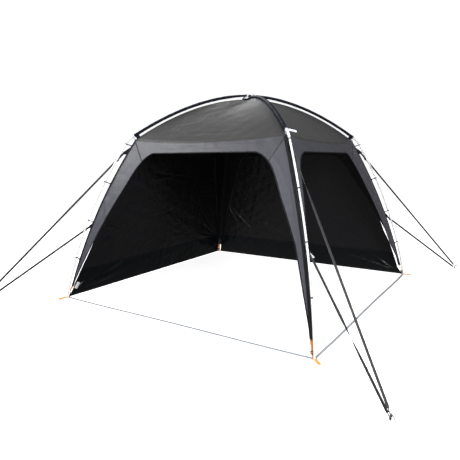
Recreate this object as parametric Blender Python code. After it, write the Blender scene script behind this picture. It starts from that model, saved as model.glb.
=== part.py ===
# Camp shelter, 3 m square: two crossed roof poles on four bowed legs, a cloth canopy hung inside
# them, two open sides, two walls, and eight guys to four pegs. Metres, +Z up.
# The origin is on the ground in the middle of the footprint. The open sides face -Y and +X.

import math

import bmesh
import bpy
from mathutils import Matrix, Vector

# Driving dimensions: footprint and frame
SIDE = 3.0
FOOT_RADIUS = SIDE / math.sqrt(2)
LEG_TOP = (1.394, 1.715)
LEG_BOW = 0.086
HUB = (1.313, 1.789)
ELBOW_KNEE = (1.3666, 1.7565)
ARCH_TOP = 2.250
ARCH_POWER = 1.85
CROSSING_REACH = 0.9
CROSSING_RADIUS = 0.0115
NECK_REACH = 0.35
POLE_RADIUS = 0.0095
ELBOW_RADIUS = 0.0122
SLEEVE_RADIUS = 0.0152

# Driving dimensions: canopy
ROOF_DROP = 0.046
SEAM_POWER = 1.92
CANOPY_CORNER = (1.305, 1.742)
CANOPY_FOOT = (2.104, 0.0)
CANOPY_BOW = 0.077
EAVE_SAG = 0.042
ROOF_SAG = 0.03
OPENING_TOP = 1.588
OPENING_TOP_HALF = 0.60
CORNER_CURVE_HEIGHT = 1.36
CLOTH_FOOT_HEIGHT = 0.13
CLOTH = 0.003
WALL_BOTTOM = 0.02
# Height below which a wall's edge stands free of the leg panel, and how far: at the back corner, and
# at the other two
WALL_SPLITS = {"back": (0.20, 0.03), "right": (0.62, 0.024), "left": (0.62, 0.024)}
WALL_SPLIT_RISE = 0.15
WALL_FREE_HEIGHT = 0.10

# Width of a leg panel's wing at these heights
WING_WIDTHS = ((0.13, 0.022), (0.45, 0.095), (0.81, 0.165), (1.20, 0.243), (1.36, 0.265))

# Driving dimensions: guys, pegs and webbing
PEG_RADIUS = 2.985
PEG_TURN = math.radians(1.8)
PEG_HEIGHT = 0.05
PEG_SHANK_RADIUS = 0.005
PEG_LEAN = 0.012
GUY_WIDTH = 0.022
GUY_THICKNESS = 0.003
# Each guy: foot height of its tab on the canopy's corner edge, the tab's length and reach, and the
# height at the peg
GUYS = {"upper": (1.585, 0.08, 0.045, 0.036), "lower": (0.775, 0.062, 0.024, 0.014)}
TAB_END = 0.012
GUY_NECK = 0.03
GUY_EYE = 0.008
GUY_BAR = (0.008, 0.006)
GUY_BAR_END = 0.004
CLIP_HEIGHTS = (1.70, 1.288, 0.868, 0.453)
CLIP_SIZE = 0.012
WEBBING = 0.025
WEBBING_THICKNESS = 0.003
FOOT_PLATE = 0.036
FOOT_PEG_START = 0.014
FOOT_PEG_LENGTH = 0.102
FOOT_PEG_WIDTH = 0.027
FOOT_PEG_THICKNESS = 0.008
# Line of the foot webbing below the leg panel's tip: how far inside the foot's radius, and height
FOOT_STRAP = ((0.034, 0.05), (0.012, 0.0015))
FOOT_STRAP_BELOW = 0.0018
BUCKLE_BARS = (0.035, 0.05)
BUCKLE_WIDTH = 0.034
BUCKLE_BAR = 0.007
APEX_PATCH_RADIUS = 0.085
TIE_RADIUS = 0.06
TIE_WIDTH = 0.02
TIE_THICKNESS = 0.002
TIE_CLEARANCE = 0.0008
LOOP_WIDTH = 0.018
LOOP_REACH = 0.0405
LOOP_TAIL = 0.095
LOOP_TAIL_DROP = 0.016
LOOP_TAIL_POWER = 1.4
STRIP_THICKNESS = 0.003
# Share of the opening's rounded corner below the diagonal seam, and of a wing's edge below that
SEAM_SHARE = 0.45
STRAIGHT_SHARE = 0.8
# Straight share of the eave band's lower edge, counted on its columns
BAND_STRAIGHT = 0.6

# Nearest distance between two pieces, and the finest steps of the curves
GAP = 0.0003
TUBE_SIDES = 12
ARC_STEPS = 16

CORNERS = {
    "front": Vector((1, -1, 0)).normalized(),
    "right": Vector((1, 1, 0)).normalized(),
    "back": Vector((-1, 1, 0)).normalized(),
    "left": Vector((-1, -1, 0)).normalized(),
}
# Each side: its outward direction, and the corners at its left and right seen from outside
SIDES = {
    "front_left": (Vector((0, -1, 0)), "left", "front"),
    "front_right": (Vector((1, 0, 0)), "front", "right"),
    "back_right": (Vector((0, 1, 0)), "right", "back"),
    "back_left": (Vector((-1, 0, 0)), "back", "left"),
}
WALLED = ("back_right", "back_left")
# How much wider or narrower each wing is than the list of widths: (side, corner)
WING_EXTRA = {
    ("front_left", "left"): 0.0,
    ("front_left", "front"): -0.08,
    ("front_right", "front"): -0.115,
    ("front_right", "right"): 0.12,
    ("back_right", "right"): -0.05,
    ("back_right", "back"): -0.03,
    ("back_left", "back"): -0.03,
    ("back_left", "left"): 0.0,
}
# Height above the cloth's foot at which that extra width is reached, for each side
WING_EXTRA_HEIGHT = {"front_left": 0.70, "front_right": 0.32, "back_right": 0.32, "back_left": 0.32}
# The side of each leg (anticlockwise is 1) on which the end of its loop lies, and how far to that
# side of the leg the guys start
PASSING_SIDE = {"front": 1, "right": 1, "back": -1, "left": -1}
GUY_ASIDE = {
    "upper": {"front": 0.016, "right": 0.016, "back": -0.030, "left": -0.030},
    "lower": {"front": 0.024, "right": 0.016, "back": -0.030, "left": -0.030},
}
# How far each roof arch is lifted at the crossing: the front one passes under the other
CROSSING_LIFT = {"right": 0.0, "front": -0.0235}
# How far the foot of the front leg stands to one side (anticlockwise) of its diagonal
FOOT_SHIFT = {"front": -0.025, "right": 0.0, "back": 0.0, "left": 0.0}
FOOT_SHIFT_HEIGHT = 1.1
# How far the buckle at each foot stands to one side (anticlockwise) of its pole
FOOT_STRAP_ASIDE = {"front": -0.010, "right": 0.0, "back": 0.0, "left": 0.0}
# How each guy's webbing turns about itself: (share of its length, degrees)
STILL = ((0.0, 0), (0.25, 0), (0.5, 0), (0.75, 0), (1.0, 0))
TURNED = ((0.0, 0), *((0.11 + 0.02 * i, 9 * i) for i in range(11)), (0.6, 90), (1.0, 90))
TURNED_LATE = ((0.0, 90), (0.18, 90), *((0.36 + 0.02 * i, 90 + 9 * i) for i in range(21)), (1.0, 270))
GUY_TWIST = {
    "upper": {"front": TURNED, "right": STILL, "back": TURNED, "left": STILL},
    "lower": {"front": TURNED_LATE, "right": STILL, "back": TURNED, "left": STILL},
}
# How far each foot peg's handle is turned from the diagonal, in degrees
FOOT_PEG_TURN = {"front": 0, "right": -54, "back": 0, "left": 48}

WHITE_STEEL = ("white_steel", (0.82, 0.82, 0.83), 0.35, 0.0)
NAVY_CLOTH = ("navy_cloth", (0.045, 0.052, 0.080), 0.75, 0.0)
GREY_CLOTH = ("grey_cloth", (0.085, 0.085, 0.090), 0.62, 0.0)
EAVE_CLOTH = ("eave_cloth", (0.130, 0.130, 0.160), 0.70, 0.0)
BLACK_CLOTH = ("black_cloth", (0.012, 0.012, 0.013), 0.75, 0.0)
BLACK_WEBBING = ("black_webbing", (0.020, 0.020, 0.022), 0.80, 0.0)
PALE_WEBBING = ("pale_webbing", (0.300, 0.340, 0.400), 0.80, 0.0)
ORANGE_WEBBING = ("orange_webbing", (0.900, 0.300, 0.060), 0.70, 0.0)
PEG_STEEL = ("peg_steel", (0.450, 0.450, 0.460), 0.40, 1.0)


def clear_scene():
    for thing in list(bpy.data.objects):
        bpy.data.objects.remove(thing, do_unlink=True)


def material_of(finish):
    name, colour, roughness, metallic = finish
    material = bpy.data.materials.new(name)
    material.use_nodes = True
    shader = material.node_tree.nodes["Principled BSDF"]
    shader.inputs["Base Color"].default_value = (*colour, 1.0)
    shader.inputs["Roughness"].default_value = roughness
    shader.inputs["Metallic"].default_value = metallic
    return material


def add_object(name, points, faces, finish, smooth=False):
    """One object from its points and faces, with the faces turned outwards."""
    shape = bmesh.new()
    corners = [shape.verts.new(point) for point in points]
    for face in faces:
        shape.faces.new([corners[index] for index in face])
    bmesh.ops.recalc_face_normals(shape, faces=shape.faces)
    mesh = bpy.data.meshes.new(name)
    shape.to_mesh(mesh)
    shape.free()
    mesh.materials.append(material_of(finish))
    if smooth:
        mesh.shade_smooth()
        mesh.set_sharp_from_angle(angle=math.radians(40))
    thing = bpy.data.objects.new(name, mesh)
    bpy.context.scene.collection.objects.link(thing)
    return thing


# Curves of the frame and canopy. A place is (radius, height) in the upright plane of a corner's
# diagonal; arcs are circles through two places with a given bow.

def circle_through(low, high, bow):
    """Centre and radius of the circle through two places that bows outwards."""
    chord = math.dist(low, high)
    radius = (chord * chord / 4 + bow * bow) / (2 * bow)
    middle = ((low[0] + high[0]) / 2, (low[1] + high[1]) / 2)
    inward = ((low[1] - high[1]) / chord, (high[0] - low[0]) / chord)
    reach = radius - bow
    return (middle[0] + inward[0] * reach, middle[1] + inward[1] * reach, radius)


def radius_at(circle, height):
    return circle[0] + math.sqrt(circle[2] ** 2 - (height - circle[1]) ** 2)


LEG_CIRCLE = circle_through((FOOT_RADIUS, 0.0), LEG_TOP, LEG_BOW)
EDGE_CIRCLE = circle_through(CANOPY_FOOT, CANOPY_CORNER, CANOPY_BOW)


def side_at(height):
    """How far the cloth of a side stands from the middle, at this height."""
    return radius_at(EDGE_CIRCLE, height) / math.sqrt(2)


def across_of(corner):
    """The anticlockwise direction at a corner."""
    out = CORNERS[corner]
    return Vector((-out.y, out.x, 0))


def foot_shift(corner, height):
    """How far a leg stands aside at this height."""
    low = max(1 - height / FOOT_SHIFT_HEIGHT, 0)
    return across_of(corner) * FOOT_SHIFT[corner] * low * low


def in_corner(corner, place, sideways=0.0):
    """World point of a place in a corner's diagonal plane, moved sideways (anticlockwise)."""
    aside = across_of(corner) * sideways + foot_shift(corner, place[1])
    return CORNERS[corner] * place[0] + aside + Vector((0, 0, place[1]))


def on_side(outward, along, height):
    """World point on the cloth of a side: along runs to the right seen from outside."""
    across = Vector((-outward.y, outward.x, 0))
    return outward * side_at(height) + across * along + Vector((0, 0, height))


# Sweeps and cloths

def ring(radius, sides=TUBE_SIDES):
    turn = 2 * math.pi / sides
    return [(radius * math.cos(turn * i), radius * math.sin(turn * i)) for i in range(sides)]


def strip_section(width, thickness):
    w = width / 2
    t = thickness / 2
    return [(-w, -t), (w, -t), (w, t), (-w, t)]


def sweep(path, section, across, closed=False, scales=None):
    """Points and faces of a section carried along a path, with one sideways direction or a list."""
    points = []
    count = len(path)
    sideways_list = across if isinstance(across, list) else [across] * count
    scales = scales or [1] * count
    for i, (point, across, scale) in enumerate(zip(path, sideways_list, scales)):
        before = path[i - 1] if i or closed else path[i]
        after = path[(i + 1) % count] if closed or i < count - 1 else path[i]
        ahead = (after - before).normalized()
        upward = ahead.cross(across).normalized()
        sideways = upward.cross(ahead)
        points += [point + (sideways * u + upward * v) * scale for u, v in section]
    size = len(section)
    faces = []
    for i in range(count if closed else count - 1):
        low = i * size
        high = ((i + 1) % count) * size
        for j in range(size):
            k = (j + 1) % size
            faces.append((low + j, low + k, high + k, high + j))
    if not closed:
        faces.append(tuple(range(size)))
        faces.append(tuple(range((count - 1) * size, count * size)))
    return points, faces


def joined(shapes):
    """Points and faces of several shapes in one list."""
    points = []
    faces = []
    for more_points, more_faces in shapes:
        shift = len(points)
        points += more_points
        faces += [tuple(index + shift for index in face) for face in more_faces]
    return points, faces


def union(thing, shapes):
    """Joins further closed shapes to an object with an exact Boolean."""
    points, faces = joined(shapes)
    helper = add_object(thing.name + "_addition", points, faces, WHITE_STEEL)
    helper.hide_render = True
    helper.display_type = "WIRE"
    step = thing.modifiers.new("Join", "BOOLEAN")
    step.operation = "UNION"
    step.solver = "EXACT"
    step.use_self = True
    step.object = helper


def add_cloth(name, rows, finish, outward):
    """A cloth from rows of points, thickened to its outer side."""
    width = len(rows[0])
    points = [point for row in rows for point in row]
    faces = []
    for i in range(len(rows) - 1):
        for j in range(width - 1):
            low = i * width + j
            faces.append((low, low + 1, low + 1 + width, low + width))
    cloth = add_object(name, points, faces, finish, smooth=True)
    mesh = cloth.data
    if sum((face.normal.dot(outward) for face in mesh.polygons), 0.0) < 0:
        mesh.flip_normals()
    thicken = cloth.modifiers.new("Thickness", "SOLIDIFY")
    thicken.thickness = CLOTH
    thicken.offset = 1.0
    thicken.use_even_offset = True
    return cloth


def blend(a, b, t):
    return tuple(x + (y - x) * t for x, y in zip(a, b))


def steps(count):
    return [i / count for i in range(count + 1)]


# Outlines of the openings. A place on a side is (distance from the middle, height).

def wing_width(side, corner, height):
    """Width of a leg panel's wing at this height, read from the list of widths."""
    for (low, narrow), (high, wide) in zip(WING_WIDTHS, WING_WIDTHS[1:]):
        if height <= high:
            break
    share = (height - low) / (high - low)
    grown = min(max(height - CLOTH_FOOT_HEIGHT, 0) / WING_EXTRA_HEIGHT[side], 1.0)
    return max(narrow + (wide - narrow) * share + WING_EXTRA[side, corner] * grown, 0.022)


def opening_edge(side, corner, height):
    """Place on the upright edge of an opening."""
    return (side_at(height) - wing_width(side, corner, height), height)


def opening_corner(side, corner, t):
    """The opening's rounded top corner, from the upright edge (0) to the straight top (1)."""
    start = opening_edge(side, corner, CORNER_CURVE_HEIGHT)
    below = opening_edge(side, corner, CORNER_CURVE_HEIGHT - 0.1)
    knee_height = OPENING_TOP - 0.03
    lean = (start[0] - below[0]) / (start[1] - below[1])
    knee = (start[0] + lean * (knee_height - start[1]), knee_height)
    end = (OPENING_TOP_HALF - 0.6 * WING_EXTRA[side, corner], OPENING_TOP)
    return blend(blend(start, knee, t), blend(knee, end, t), t)


def wing_inner(side, corner, t):
    """Inner edge of a wing, from its tip (0) to the diagonal seam (1)."""
    if t < STRAIGHT_SHARE:
        rise = (CORNER_CURVE_HEIGHT - CLOTH_FOOT_HEIGHT) * t / STRAIGHT_SHARE
        return opening_edge(side, corner, CLOTH_FOOT_HEIGHT + rise)
    share = (t - STRAIGHT_SHARE) / (1 - STRAIGHT_SHARE)
    return opening_corner(side, corner, SEAM_SHARE * share)


def wing_outer(t):
    """Corner edge of a leg panel, from its tip (0) to the canopy's corner (1)."""
    top = CANOPY_CORNER[1] - 2 * GAP
    height = CLOTH_FOOT_HEIGHT + (top - CLOTH_FOOT_HEIGHT) * t
    return (side_at(height), height)


def wall_edge(side, corner, height):
    """Place on the wall's upright edge: along the opening, then free of the leg panel low down."""
    along = opening_edge(side, corner, height)[0]
    split, gap = WALL_SPLITS[corner]
    free = min(max(split - height, 0) / WALL_SPLIT_RISE, 1.0) * min(height / WALL_FREE_HEIGHT, 1.0)
    return (along - 2 * GAP - gap * free, height)


# The frame

def clip_ends(height):
    """Places of a clip's inner end, just clear of the canopy's corner edge, and its outer end."""
    low = height - 0.02
    edge = Vector((radius_at(EDGE_CIRCLE, low), low))
    outer = Vector((radius_at(LEG_CIRCLE, height) + POLE_RADIUS + 0.003, height + 0.006))
    normal = (edge - Vector(EDGE_CIRCLE[:2])).normalized()
    way = (outer - edge).normalized()
    clearance = CLOTH * math.sqrt(2) + GAP + abs(way.cross(normal)) * CLIP_SIZE / 2
    return edge + way * clearance / way.dot(normal), outer


def add_leg_pole(corner):
    across = across_of(corner)
    lean = -LEG_CIRCLE[1] / LEG_CIRCLE[2]
    bottom = WEBBING_THICKNESS + GAP + POLE_RADIUS * lean
    path = []
    for t in steps(ARC_STEPS):
        height = bottom + (LEG_TOP[1] - bottom) * t
        path.append(in_corner(corner, (radius_at(LEG_CIRCLE, height), height)))
    points, faces = sweep(path, ring(POLE_RADIUS), across)
    pole = add_object("leg_pole_" + corner, points, faces, WHITE_STEEL, smooth=True)
    clips = []
    for height in CLIP_HEIGHTS:
        ends = [in_corner(corner, place) for place in clip_ends(height)]
        clips.append(sweep(ends, strip_section(CLIP_SIZE, CLIP_SIZE), across))
    union(pole, clips)


def add_elbow(corner):
    path = []
    for t in steps(12):
        place = blend(blend(LEG_TOP, ELBOW_KNEE, t), blend(ELBOW_KNEE, HUB, t), t)
        path.append(in_corner(corner, place))
    path[0] += (path[1] - path[0]).normalized() * 3 * GAP
    path[-1] += (path[-2] - path[-1]).normalized() * 3 * GAP
    points, faces = sweep(path, ring(ELBOW_RADIUS), across_of(corner))
    add_object("elbow_" + corner, points, faces, WHITE_STEEL, smooth=True)


def smooth(t):
    t = min(max(t, 0), 1)
    return t * t * (3 - 2 * t)


def arch_height(radius, corner):
    """Height of a roof arch, a little lifted or lowered where the two cross."""
    lift = CROSSING_LIFT[corner] * smooth(1 - abs(radius) / CROSSING_REACH)
    return ARCH_TOP + lift - (ARCH_TOP - HUB[1]) * (abs(radius) / HUB[0]) ** ARCH_POWER


def sleeve_radius(radius):
    """Radius of a sleeve, narrower where the arches cross."""
    return SLEEVE_RADIUS - (SLEEVE_RADIUS - CROSSING_RADIUS) * smooth(1 - abs(radius) / NECK_REACH)


def seam_height(radius):
    """Height of the roof's diagonal seams."""
    top = ARCH_TOP - ROOF_DROP
    share = (abs(radius) / CANOPY_CORNER[0]) ** SEAM_POWER
    return top - (top - CANOPY_CORNER[1]) * share


def strip_under_arch(corner, first, last):
    """The thin upright strip between a sleeve and the roof's diagonal seam."""
    half = across_of(corner) * STRIP_THICKNESS / 2
    points = []
    for t in steps(ARC_STEPS):
        radius = first + (last - first) * t
        low = seam_height(radius) + CLOTH + 2 * GAP
        high = arch_height(radius, corner) - SLEEVE_RADIUS / 2
        for height in (low, high):
            point = in_corner(corner, (radius, height))
            points += [point - half, point + half]
    faces = []
    for a in range(0, 4 * ARC_STEPS, 4):
        b = a + 4
        faces += [(a, a + 1, b + 1, b), (a + 2, b + 2, b + 3, a + 3)]
        faces += [(a, b, b + 2, a + 2), (a + 1, a + 3, b + 3, b + 1)]
    end = 4 * ARC_STEPS
    faces += [(0, 2, 3, 1), (end, end + 1, end + 3, end + 2)]
    return points, faces


def add_roof_arch(name, corner):
    radii = [HUB[0] * t ** 1.5 for t in steps(ARC_STEPS)]
    radii = [-radius for radius in reversed(radii[1:])] + radii
    path = [in_corner(corner, (radius, arch_height(radius, corner))) for radius in radii]
    widths = [sleeve_radius(radius) for radius in radii]
    points, faces = sweep(path, ring(1), across_of(corner), scales=widths)
    arch = add_object(name, points, faces, NAVY_CLOTH, smooth=True)
    inner = APEX_PATCH_RADIUS + 0.015
    outer = CANOPY_CORNER[0] - 0.02
    ends = ((-inner, -outer), (inner, outer))
    union(arch, [strip_under_arch(corner, first, last) for first, last in ends])


def add_apex_tie():
    """A round patch on the roof's top, with a webbing tie over each sleeve beside the crossing."""
    low = ARCH_TOP - ROOF_DROP + CLOTH + GAP
    high = low + WEBBING_THICKNESS
    count = 24
    points = []
    for height in (low, high):
        points += [Vector((u, v, height)) for u, v in ring(APEX_PATCH_RADIUS, count)]
    faces = [tuple(range(count)), tuple(range(count, 2 * count))]
    for i in range(count):
        j = (i + 1) % count
        faces.append((i, j, count + j, count + i))
    patch = add_object("apex_tie", points, faces, BLACK_WEBBING)
    bend = sleeve_radius(TIE_RADIUS + 0.01) + TIE_CLEARANCE + TIE_THICKNESS / 2
    ties = []
    for corner in CROSSING_LIFT:
        across = across_of(corner)
        for radius in (-TIE_RADIUS, TIE_RADIUS):
            centre = in_corner(corner, (radius, arch_height(radius, corner)))
            foot = in_corner(corner, (radius, (low + high) / 2))
            path = [foot - across * bend]
            for t in steps(12):
                turn = math.pi * (1 - t)
                aside = across * bend * math.cos(turn)
                path.append(centre + aside + Vector((0, 0, bend * math.sin(turn))))
            path.append(foot + across * bend)
            ties.append(sweep(path, strip_section(TIE_WIDTH, TIE_THICKNESS), CORNERS[corner]))
    union(patch, ties)


def add_hub_loop(corner):
    """Webbing loop round the elbow at the sleeve's end, down to the canopy's corner."""
    out = CORNERS[corner]
    across = across_of(corner)
    inward = (Vector(HUB) - Vector(ELBOW_KNEE)).normalized()
    axis = out * inward.x + Vector((0, 0, inward.y))
    down = across.cross(axis)
    if down.z > 0:
        down = -down
    middle = in_corner(corner, HUB) - axis * (LOOP_WIDTH / 2 + 0.003)
    bend = ELBOW_RADIUS + TIE_CLEARANCE + TIE_THICKNESS / 2
    path = []
    for t in steps(12):
        turn = math.pi * t
        path.append(middle + across * bend * math.cos(turn) - down * bend * math.sin(turn))
    path.append(middle - across * 0.004 + down * LOOP_REACH)
    path.append(middle + across * 0.004 + down * LOOP_REACH)
    points, faces = sweep(path, strip_section(LOOP_WIDTH, TIE_THICKNESS), axis, closed=True)
    loop = add_object("hub_loop_" + corner, points, faces, PALE_WEBBING)
    sign = PASSING_SIDE[corner]
    start = middle + across * sign * bend
    path = []
    for t in steps(4):
        drop = Vector((0, 0, LOOP_TAIL_DROP * t ** LOOP_TAIL_POWER))
        path.append(start + across * sign * (LOOP_TAIL - bend) * t - drop)
    union(loop, [sweep(path, strip_section(LOOP_WIDTH - 0.003, TIE_THICKNESS), axis)])


# The canopy

def add_leg_panel(corner):
    wings = [(side, value[0]) for side, value in SIDES.items() if value[2] == corner]
    wings += [(side, value[0]) for side, value in SIDES.items() if value[1] == corner]
    (side_a, out_a), (side_b, out_b) = wings
    rows = []
    for t in steps(20):
        outer = wing_outer(t)
        inner_a = wing_inner(side_a, corner, t)
        inner_b = wing_inner(side_b, corner, t)
        row = [on_side(out_a, *blend(inner_a, outer, u)) for u in steps(4)]
        for u in steps(4)[1:]:
            along, height = blend(outer, inner_b, u)
            row.append(on_side(out_b, -along, height))
        rows.append([point + foot_shift(corner, point.z) for point in row])
    add_cloth("leg_panel_" + corner, rows, GREY_CLOTH, CORNERS[corner])


def eave_place(u):
    """Place on the eave seam, u from -1 to 1 along the side."""
    height = CANOPY_CORNER[1] - EAVE_SAG * (1 - u * u)
    return (u * CANOPY_CORNER[0] / math.sqrt(2), height)


def band_bottom(side, left, right, u):
    """Lower edge of an eave band, u from -1 to 1: rounded corner, straight top, rounded corner."""
    corner = left if u < 0 else right
    if abs(u) <= BAND_STRAIGHT:
        along = opening_corner(side, corner, 1.0)[0] * abs(u) / BAND_STRAIGHT
        height = OPENING_TOP
    else:
        share = (1 - abs(u)) / (1 - BAND_STRAIGHT)
        along, height = opening_corner(side, corner, SEAM_SHARE + (1 - SEAM_SHARE) * share)
    return (math.copysign(along, u), height)


def add_eave_band(side):
    outward, left, right = SIDES[side]
    across = [2 * t - 1 for t in steps(20)]
    rows = []
    for v in steps(3):
        row = []
        for u in across:
            top_along, top_height = eave_place(u)
            top = (top_along, top_height - 2 * GAP)
            along, height = blend(top, band_bottom(side, left, right, u), v)
            row.append(on_side(outward, along - 3 * GAP * u, height))
        rows.append(row)
    add_cloth("eave_band_" + side, rows, EAVE_CLOTH, outward)


def add_roof_panel(side):
    outward = SIDES[side][0]
    sideways = Vector((-outward.y, outward.x, 0))
    rows = []
    for v in steps(12):
        radius = max(CANOPY_CORNER[0] * v, 0.0015)
        half = radius / math.sqrt(2)
        row = []
        for t in steps(12):
            u = 2 * t - 1
            eave_height = eave_place(u)[1]
            swell = (side_at(eave_height) - side_at(CANOPY_CORNER[1])) * v * v
            sink = (CANOPY_CORNER[1] - eave_height) * v * v
            sink += ROOF_SAG * (1 - u * u) * math.sin(math.pi * v)
            point = outward * (half + swell) + sideways * u * (half - GAP)
            row.append(point + Vector((0, 0, seam_height(radius) - sink)))
        rows.append(row)
    add_cloth("roof_panel_" + side, rows, GREY_CLOTH, Vector((0, 0, 1)))


def add_wall(side):
    outward, left, right = SIDES[side]
    rise = CORNER_CURVE_HEIGHT - CLOTH_FOOT_HEIGHT
    heights = [WALL_BOTTOM] + [CLOTH_FOOT_HEIGHT + rise * t for t in steps(16)]
    edges = []
    for height in heights:
        edges.append((wall_edge(side, left, height), wall_edge(side, right, height)))
    bends = [SEAM_SHARE * t for t in steps(4)[1:]]
    bends += [SEAM_SHARE + (1 - SEAM_SHARE) * t for t in steps(4)[1:]]
    for t in bends:
        pair = (opening_corner(side, left, t), opening_corner(side, right, t))
        edges.append(tuple((along - 3 * GAP, height - 2 * GAP) for along, height in pair))
    rows = []
    for (left_along, height), (right_along, _) in edges:
        places = [blend((-left_along,), (right_along,), u)[0] for u in steps(14)]
        rows.append([on_side(outward, along, height) for along in places])
    add_cloth("wall_" + side, rows, BLACK_CLOTH, outward)


# Guys, pegs and webbing

def peg_point(corner, height):
    """Point on the axis of a guy's peg, which leans outwards."""
    place = Matrix.Rotation(PEG_TURN, 3, "Z") @ CORNERS[corner] * PEG_RADIUS
    bottom = PEG_SHANK_RADIUS * PEG_LEAN / math.hypot(PEG_LEAN, PEG_HEIGHT)
    lean = CORNERS[corner] * PEG_LEAN * (height - bottom) / (PEG_HEIGHT - bottom)
    return place + lean + Vector((0, 0, max(height, bottom)))


def add_guy_peg(corner):
    path = [peg_point(corner, 0), peg_point(corner, PEG_HEIGHT)]
    path[0] = peg_point(corner, path[0].z)
    points, faces = sweep(path, ring(PEG_SHANK_RADIUS, 8), across_of(corner))
    peg = add_object("guy_peg_" + corner, points, faces, PEG_STEEL, smooth=True)
    top = path[1] - Vector((0, 0, 0.004))
    hook = [top - CORNERS[corner] * 0.004, top + CORNERS[corner] * 0.028]
    hook.append(hook[1] - Vector((0, 0, 0.016)))
    union(peg, [sweep(hook, ring(PEG_SHANK_RADIUS * 0.8, 8), across_of(corner))])


def guy_end(corner, peg, towards):
    """The eye round the peg at a guy's end, and the neck that joins it to the strap."""
    across = across_of(corner)
    flat = Vector((towards.x, towards.y, 0))
    axis = (peg_point(corner, PEG_HEIGHT) - peg).normalized()
    outward = across.cross(axis).normalized()
    bend = PEG_SHANK_RADIUS + 2 * GAP + GUY_THICKNESS / 2
    circle = [peg + outward * u + across * v for u, v in ring(bend)]
    section = strip_section(GUY_EYE, GUY_THICKNESS)
    neck = [peg - towards * (GUY_NECK + 0.01) / flat.length, peg - flat.normalized() * bend]
    return [sweep(circle, section, axis, closed=True), sweep(neck, section, across)]


def add_guy(corner, level):
    """A flat webbing guy with its cloth tab, from the canopy's corner edge past the pole to the peg."""
    low, length, tab_reach, end_height = GUYS[level]
    across = across_of(corner)
    outline = []
    for height in (low + length, low + length / 2, low):
        inner = radius_at(EDGE_CIRCLE, height) + CLOTH * math.sqrt(2) + 3 * GAP
        outline.append((inner, height))
    start_height = low + TAB_END
    start = radius_at(EDGE_CIRCLE, start_height) + tab_reach - TAB_END / 2
    outline.append((start + TAB_END / 2, low))
    outline.append((start + TAB_END / 2, low + 2 * TAB_END))
    points = []
    for aside in (-GUY_THICKNESS / 2, GUY_THICKNESS / 2):
        points += [in_corner(corner, place, aside) for place in outline]
    count = len(outline)
    faces = [tuple(range(count)), tuple(range(count, 2 * count))]
    for i in range(count):
        j = (i + 1) % count
        faces.append((i, j, count + j, count + i))
    tab = add_object(f"guy_{level}_{corner}", points, faces, BLACK_WEBBING)

    sideways = GUY_ASIDE[level][corner]
    begin = in_corner(corner, (start, start_height), sideways)
    peg = peg_point(corner, end_height)
    towards = (peg - begin).normalized()
    end = peg - towards * GUY_NECK / math.hypot(towards.x, towards.y)
    upright = towards.cross(across).normalized()
    path = []
    ways = []
    for share, turn in GUY_TWIST[level][corner]:
        path.append(begin.lerp(end, share))
        ways.append(Matrix.Rotation(math.radians(turn), 3, towards) @ upright)
    strap = sweep(path, strip_section(GUY_WIDTH, GUY_THICKNESS), ways)
    beyond = across * math.copysign(GUY_BAR_END, sideways)
    past = across * (GUY_WIDTH / 2 if GUY_TWIST[level][corner][0][1] else 0)
    bar = [in_corner(corner, (start, start_height)) - beyond, begin + beyond + past]
    buckle = sweep(bar, strip_section(*GUY_BAR), towards)
    union(tab, [strap, buckle, *guy_end(corner, peg, towards)])


def add_foot_anchor(corner):
    """Orange webbing from the leg panel's tip to a plate under the pole, with buckle and peg."""
    foot = in_corner(corner, (FOOT_RADIUS, 0))
    half = FOOT_PLATE / 2
    points = []
    for height in (0, WEBBING_THICKNESS):
        for u, v in ((-half, -half), (half, -half), (half, half), (-half, half)):
            points.append(foot + Vector((u, v, height)))
    faces = [(0, 1, 2, 3), (4, 5, 6, 7)]
    faces += [(i, (i + 1) % 4, 4 + (i + 1) % 4, 4 + i) for i in range(4)]
    plate = add_object("foot_anchor_" + corner, points, faces, ORANGE_WEBBING)
    across = across_of(corner)
    aside = FOOT_STRAP_ASIDE[corner]
    top = CLOTH_FOOT_HEIGHT - FOOT_STRAP_BELOW
    edge = radius_at(EDGE_CIRCLE, CLOTH_FOOT_HEIGHT)
    (upper_inside, upper), (lower_inside, lower) = FOOT_STRAP
    path = [in_corner(corner, (edge - 0.008, top))]
    path.append(in_corner(corner, (FOOT_RADIUS - upper_inside, upper), aside))
    path.append(in_corner(corner, (FOOT_RADIUS - lower_inside, lower)))
    shapes = [sweep(path, strip_section(WEBBING - 0.002, WEBBING_THICKNESS), across)]
    for height in BUCKLE_BARS:
        share = (upper - height) / (upper - lower)
        inside = upper_inside + (lower_inside - upper_inside) * share
        bar = in_corner(corner, (FOOT_RADIUS - inside, height), aside * (1 - share))
        ends = [bar - across * BUCKLE_WIDTH / 2, bar + across * BUCKLE_WIDTH / 2]
        shapes.append(sweep(ends, strip_section(BUCKLE_BAR, BUCKLE_BAR), Vector((0, 0, 1))))
    turn = Matrix.Rotation(math.radians(FOOT_PEG_TURN[corner]), 3, "Z")
    way = turn @ CORNERS[corner]
    low = Vector((0, 0, FOOT_PEG_THICKNESS / 2))
    near = foot + way * FOOT_PEG_START + low
    handle = [near, foot + way * FOOT_PEG_LENGTH + low]
    shapes.append(sweep(handle, strip_section(FOOT_PEG_WIDTH, FOOT_PEG_THICKNESS), turn @ across))
    union(plate, shapes)


def add_ground_strap(side):
    outward, left, right = SIDES[side]
    feet = [in_corner(corner, (FOOT_RADIUS, 0)) for corner in (left, right)]
    ahead = (feet[1] - feet[0]).normalized() * (FOOT_PLATE / 2 + 2 * GAP)
    middle = Vector((0, 0, WEBBING_THICKNESS / 2))
    section = strip_section(WEBBING, WEBBING_THICKNESS)
    path = [feet[0] + ahead + middle, feet[1] - ahead + middle]
    points, faces = sweep(path, section, outward)
    add_object("ground_strap_" + side, points, faces, PALE_WEBBING)


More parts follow.
